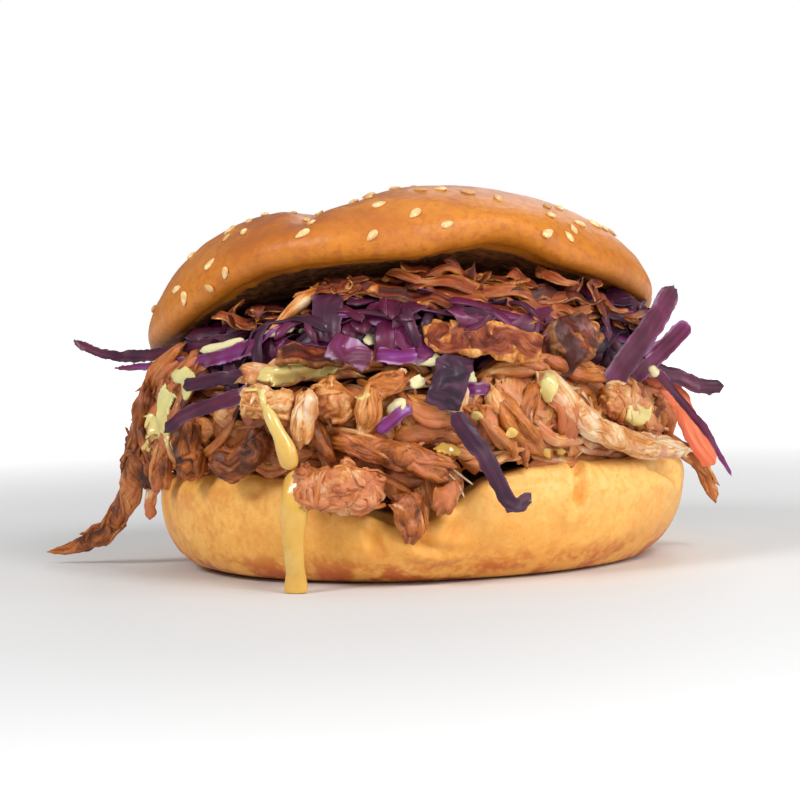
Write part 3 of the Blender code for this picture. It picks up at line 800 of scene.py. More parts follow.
# Start and end in millimetres, width and depth in millimetres
TOP_WRINKLES = (
    ((-23, -41, 72), (-19, -8, 78), 2.2, 0.9),
    ((14, -48, 63), (40, -36, 59), 1.2, 0.6),
)
BASE_WRINKLES = (
    ((29.5, -45, 24), (30, -50, 10), 1.2, 2.8),
    ((-13, -57, 17), (-9, -56, 5), 1.1, 1.8),
    ((-9, -58, 14), (2, -57, 7), 1.2, 2.4),
    ((2, -57, 7), (10, -56, 6.5), 1.1, 1.7),
    ((-19, -56, 15), (-15, -56, 8), 1.0, 1.2),
    ((7, -57, 14), (3, -57, 9), 1.1, 1.4),
    ((46, -30, 21), (53, -18, 17), 1.6, 2.4),
    ((-46, -36, 20), (-30, -50, 19), 1.5, 0.8),
    ((16, -55, 19), (29, -46, 19.5), 1.5, 1.5),
    ((31, -45, 19.5), (46, -32, 18.5), 1.5, 1.3),
    ((-50, 22, 20), (-20, 52, 14), 1.6, 0.9),
    ((20, 52, 19), (34, 44, 8), 1.2, 1.4),
)


def bake_bun_top(settings):
    obj = carried("baked_bun_top", "bun_top")
    smooth_body(obj, settings.crust_voxel, 10)
    points, normals = points_of(obj), normals_of(obj)
    middle, out = cut_face("bun_top", False)
    local = points - np.array(middle)
    depth = local @ np.array(out)
    radial = np.linalg.norm(local - depth[:, None] * np.array(out), axis=1)
    facing = normals @ np.array(out)
    edge = TOP_CUT_RADIUS + 1.2 * MM * lumps(points, 9 * MM, 5)
    crumb = smooth_step(0.2, 0.7, facing) * smooth_step(0.8 * MM, -0.8 * MM, radial - edge)
    height = 0.45 * MM * lumps(points, 14 * MM, 3) + 0.12 * MM * lumps(points, 4 * MM, 8)
    height = height * (1 - crumb) + crumb * (0.5 * MM * lumps(points, 2.2 * MM, 21)
                                             + 0.5 * MM * lumps(points, 5 * MM, 22))
    for start, end, width, deep in TOP_WRINKLES:
        height = wrinkle(points, height, start, end, width, deep)
    points = points + normals * height[:, None]
    front = smooth_step(-28 * MM, -44 * MM, points[:, 1]) * smooth_step(-12 * MM, -2 * MM, depth)
    for place, half_width, lift in TOP_LIP_WAVES:
        points[:, 2] += lift * MM * front * np.exp(-((points[:, 0] / MM - place) / half_width) ** 2)
    set_points(obj, points)
    golden = smooth_step(-9 * MM, -1 * MM, depth) * (0.75 + 0.25 * lumps(points, 10 * MM, 6))
    mark(obj, crumb=crumb, bake=np.clip(golden, 0, 1), stain=0.5 * smooth_step(0.75, 0.95, -facing))
    finish = crust_finish("crust_top", tuple(settings.crust_top_colour), (0.40, 0.105, 0.010),
                          (0.58, 0.185, 0.008), (0.24, 0.045, 0.006))
    return done(obj, finish, "bun_top", "bun_top")


def bake_bun_base(settings):
    obj = carried("baked_bun_base", "bun_base")
    smooth_body(obj, settings.crust_voxel * 0.75, 12)
    points, normals = points_of(obj), normals_of(obj)
    radial = np.linalg.norm(points[:, :2], axis=1)
    edge = BASE_CUT_RADIUS + 1.0 * MM * lumps(points, 8 * MM, 4)
    crumb = (smooth_step(0.5, 0.85, normals[:, 2]) * smooth_step(0.8 * MM, -0.8 * MM, radial - edge)
             * smooth_step(8 * MM, 12 * MM, points[:, 2]))
    height = 0.35 * MM * lumps(points, 13 * MM, 13) + 0.12 * MM * lumps(points, 4 * MM, 18)
    height *= smooth_step(0.2 * MM, 2 * MM, points[:, 2])
    for start, end, width, deep in BASE_WRINKLES:
        height = wrinkle(points, height, start, end, width, deep)
    set_points(obj, points + normals * height[:, None])
    # Darker towards the bottom, on faces turned down.
    low = smooth_step(9 * MM, 1.5 * MM, points[:, 2]) * smooth_step(0.3, -0.3, normals[:, 2])
    # Paler higher up, and paler towards the right side as painted light.
    pale = (0.45 * smooth_step(8 * MM, 19 * MM, points[:, 2]) * smooth_step(-60 * MM, -10 * MM, points[:, 0])
            + 0.3 * smooth_step(-20 * MM, 45 * MM, points[:, 0]))
    # Painted shade: darker towards the left side.
    low = np.maximum(low, 0.35 * smooth_step(-20 * MM, -50 * MM, points[:, 0]))
    mark(obj, crumb=crumb, bake=pale * (1 - low), stain=low)
    finish = crust_finish("crust_base", tuple(settings.crust_base_colour), (0.84, 0.36, 0.055),
                          (0.95, 0.58, 0.18), (0.58, 0.12, 0.015))
    return done(obj, finish, "bun_base", "bun_base")


# Sesame seeds on the top bun: degrees round from the front, degrees up from the cut face, count and
# spread in degrees
SEED_GROUPS = (
    (-55, 3, 2, 3), (-40, 1, 2, 3), (-44, 6, 1, 1), (-49, 13, 2, 4), (-39, 13, 1, 1), (-45, 22, 2, 4),
    (-34, 19, 1, 1), (-24, 18, 2, 4), (-17, 10, 1, 1), (-23, 4, 2, 4), (-4, 4, 1, 1), (3, 7, 1, 1),
    (12, 5, 1, 1), (-4, 18, 3, 5), (11, 18, 2, 3), (21, 18, 1, 1), (27, 13, 1, 1), (31, 4, 2, 4),
    (40, 14, 2, 3), (37, 6, 2, 3), (45, 8, 1, 1), (55, 10, 1, 1), (70, 12, 3, 7), (-75, 12, 3, 7),
    (0, 38, 9, 16), (60, 40, 8, 16), (-60, 42, 8, 16), (180, 42, 12, 26), (120, 30, 9, 18),
    (-120, 30, 9, 18), (180, 14, 9, 26), (100, 10, 5, 12), (-100, 10, 5, 12), (145, 10, 4, 10),
    (-145, 10, 4, 10), (0, 70, 6, 20),
)


def model_seed(length):
    """One pointed, flattened seed at the origin, shaped from a small sphere."""
    bpy.ops.object.select_all(action="DESELECT")
    bpy.ops.mesh.primitive_uv_sphere_add(segments=8, ring_count=6, radius=length / 2)
    seed = bpy.context.active_object
    edit_whole(seed, bpy.ops.transform.resize, value=SEED_SHAPE)
    points = points_of(seed)
    share = points[:, 2] / length + 0.5
    points[:, :2] *= (1.12 - 0.62 * share ** 1.6)[:, None]
    seed_points = points[:, [0, 2, 1]] * np.array((1, 1, -1))
    faces = [tuple(face.vertices) for face in seed.data.polygons]
    bpy.data.objects.remove(seed)
    return seed_points, faces


def sow_seeds(settings, crust):
    tree = surface_tree(crust)
    shape, shape_faces = model_seed(settings.seed_length)
    rng = random.Random(6)
    middle, out = cut_face("bun_top", False)
    up = -out
    across = Vector((1, 0, 0))
    across = (across - up * across.dot(up)).normalized()
    front = across.cross(up) * -1
    if front.y > 0:
        front.negate()
    points, faces, tone, placed = [], [], [], []
    for turn, rise, count, spread in SEED_GROUPS:
        for _ in range(count):
            for _ in range(30):
                a = math.radians(turn + rng.gauss(0, spread))
                b = math.radians(max(0.0, rise + rng.gauss(0, spread * 0.7)))
                ray = (across * math.sin(a) + front * math.cos(a)) * math.cos(b) + up * math.sin(b)
                spot, normal, _, _ = tree.ray_cast(middle + ray * 100 * MM, -ray)
                if spot is not None and all((spot - other).length > SEED_GAP for other in placed):
                    break
            if spot is None:
                continue
            placed.append(spot)
            spin = Matrix.Rotation(rng.uniform(0, 2 * math.pi), 3, "Z")
            tilt = Matrix.Rotation(rng.gauss(0, 0.12), 3, "X")
            place = normal.to_track_quat("Z", "Y").to_matrix() @ spin @ tilt
            size = rng.uniform(0.88, 1.1)
            start_index = len(points)
            sunk = spot + normal * SEED_LIFT
            points += [tuple(sunk + place @ (Vector(p) * size)) for p in shape]
            faces += [tuple(start_index + i for i in face) for face in shape_faces]
            tone += [rng.random()] * len(shape)
    obj = object_from("sesame_seeds", points, faces)
    edit_whole(obj, bpy.ops.mesh.normals_make_consistent, inside=False)
    mark(obj, tone=tone)
    return done(obj, seed_finish(), "bun_top")


# ------------------------------------------------------------------ loose pieces

# For each loose piece of pork: how pale it is, how pink, and how granular (low is long fibres)
PORK_LOOKS = {
    "pork_strip_hanging": (0.36, 0.1, 0.05), "pork_bit_left": (0.22, 0.5, 0.3),
    "pork_tab_left": (0.66, 0.8, 0.15), "pork_ball_left": (0.34, 0.4, 0.5),
    "pork_chunk_side": (0.48, 0.5, 0.2), "pork_chunk_left": (0.22, 0.0, 0.1),
    "pork_chunk_twist": (0.20, 0.0, 0.1), "pork_chunk_upright": (0.78, 0.1, 0.12),
    "pork_chunk_arch": (0.58, 0.0, 0.07), "pork_chunk_middle": (0.62, 0.3, 0.4),
    "pork_chunk_tan": (0.76, 0.0, 0.3), "pork_strip_middle": (0.40, 0.4, 0.05),
    "pork_strip_end": (0.46, 0.8, 0.2), "pork_chunk_front": (0.66, 0.8, 0.75),
    "pork_chunk_dip": (0.40, 0.2, 0.2), "pork_loop_right": (0.44, 0.0, 0.06),
    "pork_strand_right": (0.56, 0.0, 0.06), "pork_chunk_right": (0.84, 0.2, 0.06),
    "pork_chunk_right_top": (0.70, 0.5, 0.5), "pork_strip_right_low": (0.52, 0.0, 0.06),
    "pork_rod_left": (0.66, 0.0, 0.05),
}
# For each loose strip of cabbage, and below for each shard of bacon: how pale it is
CABBAGE_TONES = {
    "cabbage_leaf_dark": 0.16, "cabbage_strip_hanging": 0.26, "cabbage_strip_low": 0.70,
    "cabbage_bit_right": 0.62, "cabbage_leaf_mauve": 0.48, "cabbage_strip_bright": 0.62,
    "cabbage_strip_violet": 0.74, "cabbage_leaf_centre": 0.30, "cabbage_strip_left_bright": 0.66,
    "cabbage_strip_left": 0.40, "cabbage_strip_left_dark": 0.34, "cabbage_strip_left_dull": 0.36,
    "cabbage_strip_right": 0.50, "cabbage_strip_right_back": 0.58, "cabbage_strip_right_long": 0.52,
    "cabbage_strip_right_short": 0.46,
}
# How strongly the bundles stand out on the smoother pieces of pork, where others have 1
PORK_RELIEF = {
    "pork_chunk_right": 0.4, "pork_strip_hanging": 0.5, "pork_strip_middle": 0.7, "pork_chunk_front": 0.7,
    "pork_chunk_right_top": 0.7,
}
BACON_TONES = {
    "bacon_front": 0.6, "bacon_fold": 0.06, "bacon_red": 0.12, "bacon_left": 0.65, "bacon_middle": 0.5,
    "bacon_top": 0.6, "bacon_right": 0.4,
}


def tear_pork(node, look, voxel, finish, fibres, seed):
    """A torn piece: rounded bundles along its grain, frayed ends and a few loose fibres on it."""
    tone, pink, granular = look
    obj = carried("torn_" + node, node)
    smooth_body(obj, voxel, 3)
    points, normals = points_of(obj), normals_of(obj)
    spine = Spine(node, points)
    field = spine.grain(max(0.09, granular))
    coarse, fine = lumps(field, 2.3 * MM, seed), lumps(field, 0.9 * MM, seed + 3)
    bundle = np.minimum(np.abs(coarse), 0.5) ** 0.6
    clump = lumps(points, 4.2 * MM, seed + 7)
    height = (1.1 * (bundle - 0.4) + 0.24 * fine + 0.55 * clump) * PORK_RELIEF.get(node, 1.0) * MM
    push = np.where(spine.way < spine.length / 2, -1.0, 1.0) * spine.end ** 2 * 1.3 * MM * np.maximum(
        lumps(field, 1.1 * MM, seed + 11) * 1.6, -0.6)
    points = points + normals * height[:, None] + spine.ahead * push[:, None]
    points[:, 2] = np.maximum(points[:, 2], 0.25 * MM)
    set_points(obj, points)
    shape_with(obj, "SMOOTH", factor=0.5, iterations=1)
    # Painted shade darkens the valleys between bundles, and painted light makes the raised lumps and fibres
    # paler.
    painted_valley_shade = smooth_step(0.1, 0.0, np.abs(coarse))
    tone_with_painted_relief = tone + 0.22 * lumps(points, 4.5 * MM, seed + 17) - 0.22 * painted_valley_shade + 0.12 * fine + 0.1 * clump
    mark(obj, grain=field + seed * 7 * MM, tone=tone_with_painted_relief, rim=pink + 0.4 * lumps(points, 6 * MM, seed + 5))
    done(obj, finish, "pulled_pork", node)

    tree = surface_tree(obj)
    rng = np.random.default_rng(seed)
    area = sum(face.area for face in obj.data.polygons)
    long_ones = int(area * (1 - 0.7 * granular) / (42 * MM * MM))
    short_ones = int(area * max(0.0, granular - 0.15) / (5.5 * MM * MM))
    for number, i in enumerate(rng.integers(0, len(points), long_ones + short_ones)):
        ahead = Vector(spine.ahead[i]) * (1 if rng.random() < 0.5 else -1) + Vector(rng.normal(0, 0.12, 3))
        length = min(spine.length * rng.uniform(0.35, 0.8), rng.uniform(5, 14) * MM)
        width = rng.uniform(0.4, 1.5) * MM
        if number >= long_ones:
            ahead, length = Vector(rng.normal(0, 1, 3)).normalized(), rng.uniform(2.5, 6.5) * MM
            width = rng.uniform(0.7, 2.0) * MM
        flick = max(0.0, rng.normal(-0.2, 0.9)) * MM
        line, outs = crawl(tree, Vector(points[i]) - ahead * length / 2, ahead, length, 9,
                           lambda share: flick * max(0.0, share - 0.6) * 2.5, 0.3, 0.1, rng)
        fibres.add(line, outs, width, min(width, 1.1 * MM) * 0.8,
                   min(0.85, float(tone + rng.normal(0.04, 0.13))), rng, ridges=0.1,
                   twist=rng.normal(0, 0.5), blunt=4.0, ragged=0.3 * MM, pink=pink, uneven=0.1)


def cut_leaf(node, tone, voxel, finish, slot_name, seed, ribs=1.7 * MM):
    """A thin cut strip or leaf: fine ribs along it, ruffled sides and a paler rim."""
    obj = carried("fresh_" + node, node)
    smooth_body(obj, voxel, 6)
    points = points_of(obj)
    spine = Spine(node, points)
    field = spine.grain(0.08)
    flat = np.stack([spine.across, 0 * spine.way, 0.3 * spine.way], axis=1)
    beat = np.cos(2 * math.pi * (spine.across / ribs + 0.35 * lumps(flat, 2.5 * MM, seed + 1)))
    rib = 0.07 * MM * beat * (1 - spine.side ** 4)
    along = spine.sides_apart()
    ruffle = 0.8 * MM * spine.side ** 2 * lumps(along, 5.5 * MM, seed + 5)
    middle = np.stack([spine.way, 0 * spine.way, 0 * spine.way], axis=1)
    bend = 0.45 * MM * lumps(middle, 7 * MM, seed + 6)
    thick = spine.through * (0.78 * (1 - 0.4 * spine.side ** 3) - 1)
    nick = 0.4 * MM * lumps(points, 1.5 * MM, seed + 9) * spine.side ** 4 * np.sign(spine.across)
    set_points(obj, points + spine.thin * (rib + ruffle + bend + thick)[:, None]
               + spine.wide * nick[:, None])
    shape_with(obj, "SMOOTH", factor=0.5, iterations=2)
    mark(obj, grain=field + seed * 5 * MM, rim=np.maximum(spine.side, spine.end ** 2),
         tone=tone + 0.2 * lumps(points, 8 * MM, seed + 4) + 0.05 * beat)
    return done(obj, finish, slot_name, node)


def fry_bacon(node, tone, voxel, finish, seed):
    """A brittle shard: blisters, waves along it and an uneven, curled rim."""
    obj = carried("fried_" + node, node)
    smooth_body(obj, voxel, 3)
    points, normals = points_of(obj), normals_of(obj)
    spine = Spine(node, points)
    along = spine.sides_apart()
    rim = np.clip(np.maximum(spine.side ** 3, spine.end) + 0.35 * lumps(points, 3 * MM, seed + 2), 0, 1)
    bubble = 0.22 * MM * lumps(points, 2.2 * MM, seed) + 0.12 * MM * lumps(points, 1.0 * MM, seed + 1)
    curl = 1.1 * MM * spine.side ** 3 * lumps(along, 3.6 * MM, seed + 3)
    ripple = np.stack([spine.way, spine.across * 0.4, 0 * spine.way], axis=1)
    wave = 0.6 * MM * lumps(ripple, 3.2 * MM, seed + 4)
    thick = spine.through * (0.35 * rim - 0.3)
    crimp = 1.0 * MM * lumps(points, 2.8 * MM, seed + 5) * spine.side ** 2 * np.sign(spine.across)
    jag = 1.2 * MM * lumps(points, 2.2 * MM, seed + 6) * spine.end * np.where(
        spine.way < spine.length / 2, -1.0, 1.0)
    set_points(obj, points + normals * bubble[:, None] + spine.thin * (curl + wave + thick)[:, None]
               + spine.wide * crimp[:, None] + spine.ahead * jag[:, None])
    mark(obj, grain=spine.grain(0.25) + seed * 9 * MM, rim=rim,
         tone=tone + 0.4 * lumps(points, 6 * MM, seed + 8))
    return done(obj, finish, "crisp_bacon", node)


# Bacon ribbons: points of the route and width, in millimetres
BACON_RIBBONS = (
    (((-6, -41, 61.6), (2, -43, 60), (12, -43.5, 58), (22, -42, 56.6), (31, -38.5, 55.4)), 3.2),
    (((-14, -42.5, 59.2), (-5, -44.5, 57.6), (4, -46, 56), (13, -46.5, 54.4), (22, -45, 52.6)), 3.6),
    (((2, -43.5, 58.2), (12, -44.5, 56.2), (22, -43.5, 54.2), (34, -38.5, 52.6)), 2.8),
    (((6, -46.5, 54.6), (14, -47.5, 53.2), (24, -46.5, 51)), 3.0),
    (((19, -43, 56.8), (28, -40, 56), (37, -34.5, 54.2)), 2.8),
    (((-3, -40.5, 62.6), (4, -40, 61.6), (12, -40, 60)), 2.2),
    (((26, -43, 52.6), (32, -41, 50.6), (35, -38.5, 48)), 3.6),
    (((-22, -41, 58), (-17, -42.5, 58.8), (-12, -43, 58)), 2.4),
    (((-19, -40, 60), (-15.5, -42, 60.2), (-11, -42, 61)), 1.8),
)
# Bacon bits: middle and spread in millimetres, number and length of a bit
BACON_BITS = (
    ((-15, -41.5, 59), (5, 2, 1.2), 14, 4.0), ((-34, -36, 54), (5, 3, 1.5), 8, 7.0),
    ((14, -38, 58.5), (12, 3, 1.6), 12, 12.0), ((34, -33, 53), (7, 3, 2.0), 9, 9.0),
    ((44, -26, 50), (4, 3, 2.0), 5, 7.0), ((0, 43, 41), (26, 4, 3), 16, 12.0),
    ((-44, 10, 44), (4, 14, 3), 10, 11.0), ((44, 14, 42), (4, 12, 3), 8, 11.0),
)


def crumble_bacon(finish):
    """Crisp wavy ribbons and bits that lie over the cabbage under the top bun."""
    rng = np.random.default_rng(12)
    bits = Shreds(10)

    def lay(line, width):
        line = np.array([tuple(point) for point in line])
        share = np.linspace(0, 1, len(line))
        length = np.linalg.norm(np.diff(line, axis=0), axis=1).sum()
        for axis, strength in ((2, 0.26), (2, 0.34), (1, 0.5)):
            beat = length / MM * rng.uniform(0.35, 1.2)
            line[:, axis] += strength * MM * np.sin(share * beat + rng.uniform(0, 6))
        bits.add(line, [tuple(rng.normal(0, 0.15, 3) + (0, -0.62, 0.78))] * len(line), width, 0.6 * MM,
                 float(rng.uniform(0.1, 0.85)), rng, square=0.6, ridges=0.1, ragged=0.8 * MM,
                 twist=rng.normal(0, 0.5), blunt=8.0, cup=0.12, uneven=0.14)

    for route, width in BACON_RIBBONS:
        lay(smooth_route(route, 34), width * MM)
    for middle, spread, count, length in BACON_BITS:
        for _ in range(count):
            place = np.array(middle) + rng.normal(0, 0.5, 3) * np.array(spread)
            ahead = rng.normal(0, 1, 3) * np.array((1, 0.4, 0.16))
            half = ahead / np.linalg.norm(ahead) * length * rng.uniform(0.3, 0.6)
            bow = rng.normal(0, 0.12, 3) * length
            lay(smooth_route((place - half, place + bow, place + half), 14), rng.uniform(1.2, 2.8) * MM)
    return done(bits.build("bacon_bits"), finish, "crisp_bacon")


# ------------------------------------------------------------------ heaps


def heap_core(name, node, shrink, finish, slot_name, tone, seed):
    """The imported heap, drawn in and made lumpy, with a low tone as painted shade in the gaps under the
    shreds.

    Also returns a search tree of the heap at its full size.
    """
    obj = carried(name, node)
    smooth_body(obj, CORE_VOXEL, 4)
    full_size = surface_tree(obj)
    points, normals = points_of(obj), normals_of(obj)
    push = -shrink + 0.9 * MM * lumps(points, 4 * MM, seed) + 0.4 * MM * lumps(points, 1.8 * MM, seed + 1)
    set_points(obj, points + normals * push[:, None])
    # Painted shade: the drawn-in heap gets a dark tone, so the gaps between the shreds look shaded.
    mark(obj, tone=np.full(len(points), tone) + 0.12 * lumps(points, 6 * MM, seed + 4),
         grain=points * np.array((1, 1, 0.3)), rim=np.zeros(len(points)))
    return done(obj, finish, slot_name, node), full_size


# Routes in millimetres, width and tone of the bundles at the left end, in the dip of the bottom bun
# and behind the strips
PORK_FILLS = (
    (((-46, -27, 45), (-50, -26, 42), (-53.5, -23, 38)), 6.0, 0.42),
    (((-49, -22, 46.5), (-54, -19, 43), (-57, -16, 38)), 6.5, 0.46),
    (((-52, -25, 41), (-54.5, -23, 35), (-55, -23, 29)), 5.5, 0.28),
    (((-57, -19, 40), (-59, -17, 33), (-58.5, -17, 26)), 5.0, 0.26),
    (((-44, -31, 44), (-48, -30, 39), (-50, -29, 33)), 5.0, 0.3),
    (((-48, -26, 41), (-44, -29, 40), (-39, -32, 39)), 7.0, 0.2),
    (((-50, -24, 38), (-46, -28, 37), (-41, -31, 36)), 7.0, 0.16),
    (((-47, -24, 43), (-42, -28, 43), (-37, -31, 42)), 7.0, 0.16),
    (((-10, -52.5, 26), (-5, -54.5, 23), (1, -55, 20.5)), 6.5, 0.42),
    (((-4, -52, 27), (-0.5, -55, 22.5), (0.5, -56.5, 18)), 6.5, 0.48),
    (((1, -52.5, 26), (4, -55, 22.5), (4.5, -56, 19.5)), 6.0, 0.5),
    (((-13, -54.5, 22.5), (-8.5, -56.5, 20), (-5, -57, 17)), 5.0, 0.45),
    (((-20, -51, 27), (-14, -53, 25), (-8, -54, 23)), 6.0, 0.3),
    (((-35, -47, 41.5), (-29, -50, 43), (-22, -50.5, 43.4)), 6.5, 0.76),
    (((-25, -50, 43), (-19, -50.5, 43.6), (-13, -50, 43.4)), 6.0, 0.74),
    (((-18, -48, 45), (-12, -49, 45), (-6, -49, 44.6)), 6.0, 0.5),
    (((-9, -50, 44), (-4, -51, 43.4), (1, -50.5, 42.6)), 6.0, 0.55),
    (((12, -51, 42), (17, -51.5, 43), (23, -49.5, 42)), 6.0, 0.45),
    (((24, -48, 42), (30, -44.5, 41.6), (36, -40, 40.4)), 6.0, 0.4),
)
# Bundles that stand out at the right of the front: places across and height on the route, width,
# tone and lift over the heap
PORK_LAID = (
    (((21, 24.5), (30, 23.6), (38, 23.4)), 4.0, 0.68, 1.5),
    (((33, 24.4), (40, 23.6), (47, 22.8)), 3.6, 0.6, 1.5),
    (((15, 37), (19, 31), (25, 25)), 4.6, 0.52, 2.6), (((24, 39), (28, 33), (27, 26)), 4.4, 0.4, 2.2),
    (((29, 34), (34, 30), (39, 26)), 4.6, 0.34, 1.2), (((11, 35), (14, 29), (19, 24.5)), 4.0, 0.55, 2.0),
    (((34, 39), (40, 36), (45, 31)), 4.4, 0.74, 2.4), (((38, 35), (43, 31), (49, 28)), 4.0, 0.56, 2.0),
    (((17, 42), (24, 40.5), (31, 38)), 3.6, 0.3, 1.6), (((22, 31), (25, 28), (31, 27)), 3.4, 0.8, 2.8),
    (((31, 27), (36, 24.5), (42, 25)), 3.0, 0.86, 2.0), (((8, 26), (13, 25), (18, 27)), 3.4, 0.7, 1.8),
    (((-36, 27), (-32, 24), (-27, 25)), 4.0, 0.5, 1.2), (((-24, 36), (-20, 31), (-18, 26)), 4.0, 0.3, 1.6),
    (((-12, 40), (-10, 35), (-13, 30)), 4.4, 0.62, 2.0), (((-4, 38), (0, 34), (6, 33)), 4.2, 0.5, 1.6),
)
# Routes in millimetres of single pale fibres
PORK_STRINGS = (
    ((0.5, -56.5, 24.5), (4, -58, 21.5), (6.5, -57.6, 18.6)),
    ((2, -56.5, 24.5), (5.5, -57.8, 21), (7.2, -57, 17.6)),
    ((3.4, -56, 24.5), (6.6, -57.4, 22), (9, -56.6, 20)),
    ((-0.5, -57, 23), (2.6, -58.4, 20), (3.4, -58.2, 17)),
)
# How a thick bundle of pork is lofted
BUNDLE = {"ridges": 0.12, "ragged": 0.8 * MM, "blunt": 3.0, "uneven": 0.15}
FILL_STEPS, LAID_STEPS, STRING_STEPS = 14, 16, 12


def pile_pork(settings, tree, finish):
    """Torn bundles and shreds in layers, packed below and loose on top; the lower layers are darkened as
    painted shade.
    """
    rng = np.random.default_rng(4)
    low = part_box("bun_base")[1][2] - 3.0 * MM

    def on_side(point, normal):
        return -0.6 < normal[2] < 0.93 and point[2] > low

    # Painted shade: the deeper a layer lies, the darker its tone. Paler towards the right.
    def tone_with_painted_shade(spot, layer):
        paler = 0.12 * smooth_step(-45 * MM, 40 * MM, spot[0])
        return float(np.clip(rng.normal(0.10 + 0.42 * layer + paler, 0.16), 0.02, 0.86))

    chunks, shreds = Shreds(12), Shreds(8)
    spots = scatter_spots(NODES["pork_heap"], settings.pork_chunks + settings.pork_shreds, rng, on_side)
    for i, (spot, normal) in enumerate(spots):
        thick_one = i < settings.pork_chunks
        layer = 0.3 * rng.random() if rng.random() < 0.5 else rng.uniform(0.6, 1.0)
        raise_by = (-3.6 + 4.6 * layer if thick_one else -2.6 + 4.2 * layer) * MM
        length = rng.uniform(8, 18 if thick_one else 21) * MM
        width = (rng.uniform(2.0, 4.8) if thick_one else rng.uniform(0.8, 2.2)) * MM
        heading = side_heading(normal, rng, 0.95)
        flick = rng.uniform(0, 1.4) * MM * layer
        line, outs = crawl(tree, Vector(spot) - heading * length / 2, heading, length, 11,
                           lambda share: raise_by + flick * max(0.0, share - 0.6) * 2, 1.6, 0.4, rng)
        group = chunks if thick_one else shreds
        group.add(line, outs, width, width * rng.uniform(0.5, 0.8), tone_with_painted_shade(spot, layer), rng,
                  ridges=0.12 if thick_one else 0.07, ragged=0.8 * MM, twist=rng.normal(0, 0.9),
                  blunt=3.2 if thick_one else 4.0, pink=rng.random(), uneven=0.13)
    for route, width, tone in PORK_FILLS:
        for _ in range(5):
            line = smooth_route([np.array(point) + rng.normal(0, 1.1, 3) for point in route], FILL_STEPS)
            chunks.add([tuple(point) for point in line], [(-0.5, -0.8, 0.3)] * FILL_STEPS,
                       width * rng.uniform(0.3, 0.55) * MM, width * 0.3 * MM,
                       float(rng.normal(tone, 0.08)), rng, twist=rng.normal(0, 0.8), pink=0.5, **BUNDLE)
    for route, width, tone, lift in PORK_LAID:
        places = []
        for across, height in route:
            spot, _, _, _ = tree.ray_cast(Vector((across, -150, height)) * MM, Vector((0, 1, 0)))
            if spot is not None:
                places.append((across, spot.y / MM - lift, height))
        if len(places) < 2:
            continue
        for _ in range(3):
            line = smooth_route([np.array(point) + rng.normal(0, 0.7, 3) for point in places], LAID_STEPS)
            line = [tuple(point + Vector((0, -1.2 * MM * math.sin(math.pi * i / (LAID_STEPS - 1)), 0)))
                    for i, point in enumerate(line)]
            chunks.add(line, [(0.0, -0.9, 0.4)] * LAID_STEPS, width * rng.uniform(0.4, 0.8) * MM,
                       width * 0.45 * MM, float(rng.normal(tone, 0.06)), rng,
                       twist=rng.normal(0, 0.8), pink=rng.random(), **BUNDLE)
    for route in PORK_STRINGS:
        line = [tuple(point) for point in smooth_route(route, STRING_STEPS)]
        shreds.add(line, [(0.0, -0.9, 0.3)] * STRING_STEPS, 0.45 * MM, 0.35 * MM, 0.98, rng,
                   blunt=4.0, pink=0.0, uneven=0.1)
    for group, name in ((chunks, "pork_chunks"), (shreds, "pork_shreds")):
        done(group.build(name), finish, "pulled_pork")


# Routes in millimetres and width of the pale rib pieces at the front
PALE_BITS = (
    (((-45, -33, 47.2), (-40, -37, 48.2), (-35.5, -40, 49.4)), 1.9),
    (((-33.5, -43, 49.6), (-29, -45, 50.8), (-25, -46, 51.6)), 1.8),
    (((-13.4, -47, 52.6), (-10.6, -49, 50.6), (-8.6, -50, 48)), 5.2),
    (((-4, -53, 45.8), (0.5, -54, 44.6), (3.5, -54, 45.2)), 3.0),
    (((-1.8, -57, 41.6), (-0.6, -57.5, 39.4)), 3.0),
    (((-7.2, -58, 34.4), (-3.6, -58.6, 37.2)), 2.6),
    (((8.8, -55, 42.6), (9.6, -55.5, 39.4)), 2.0),
    (((47, -25, 40.6), (48.4, -25.4, 38.4)), 2.0),
)


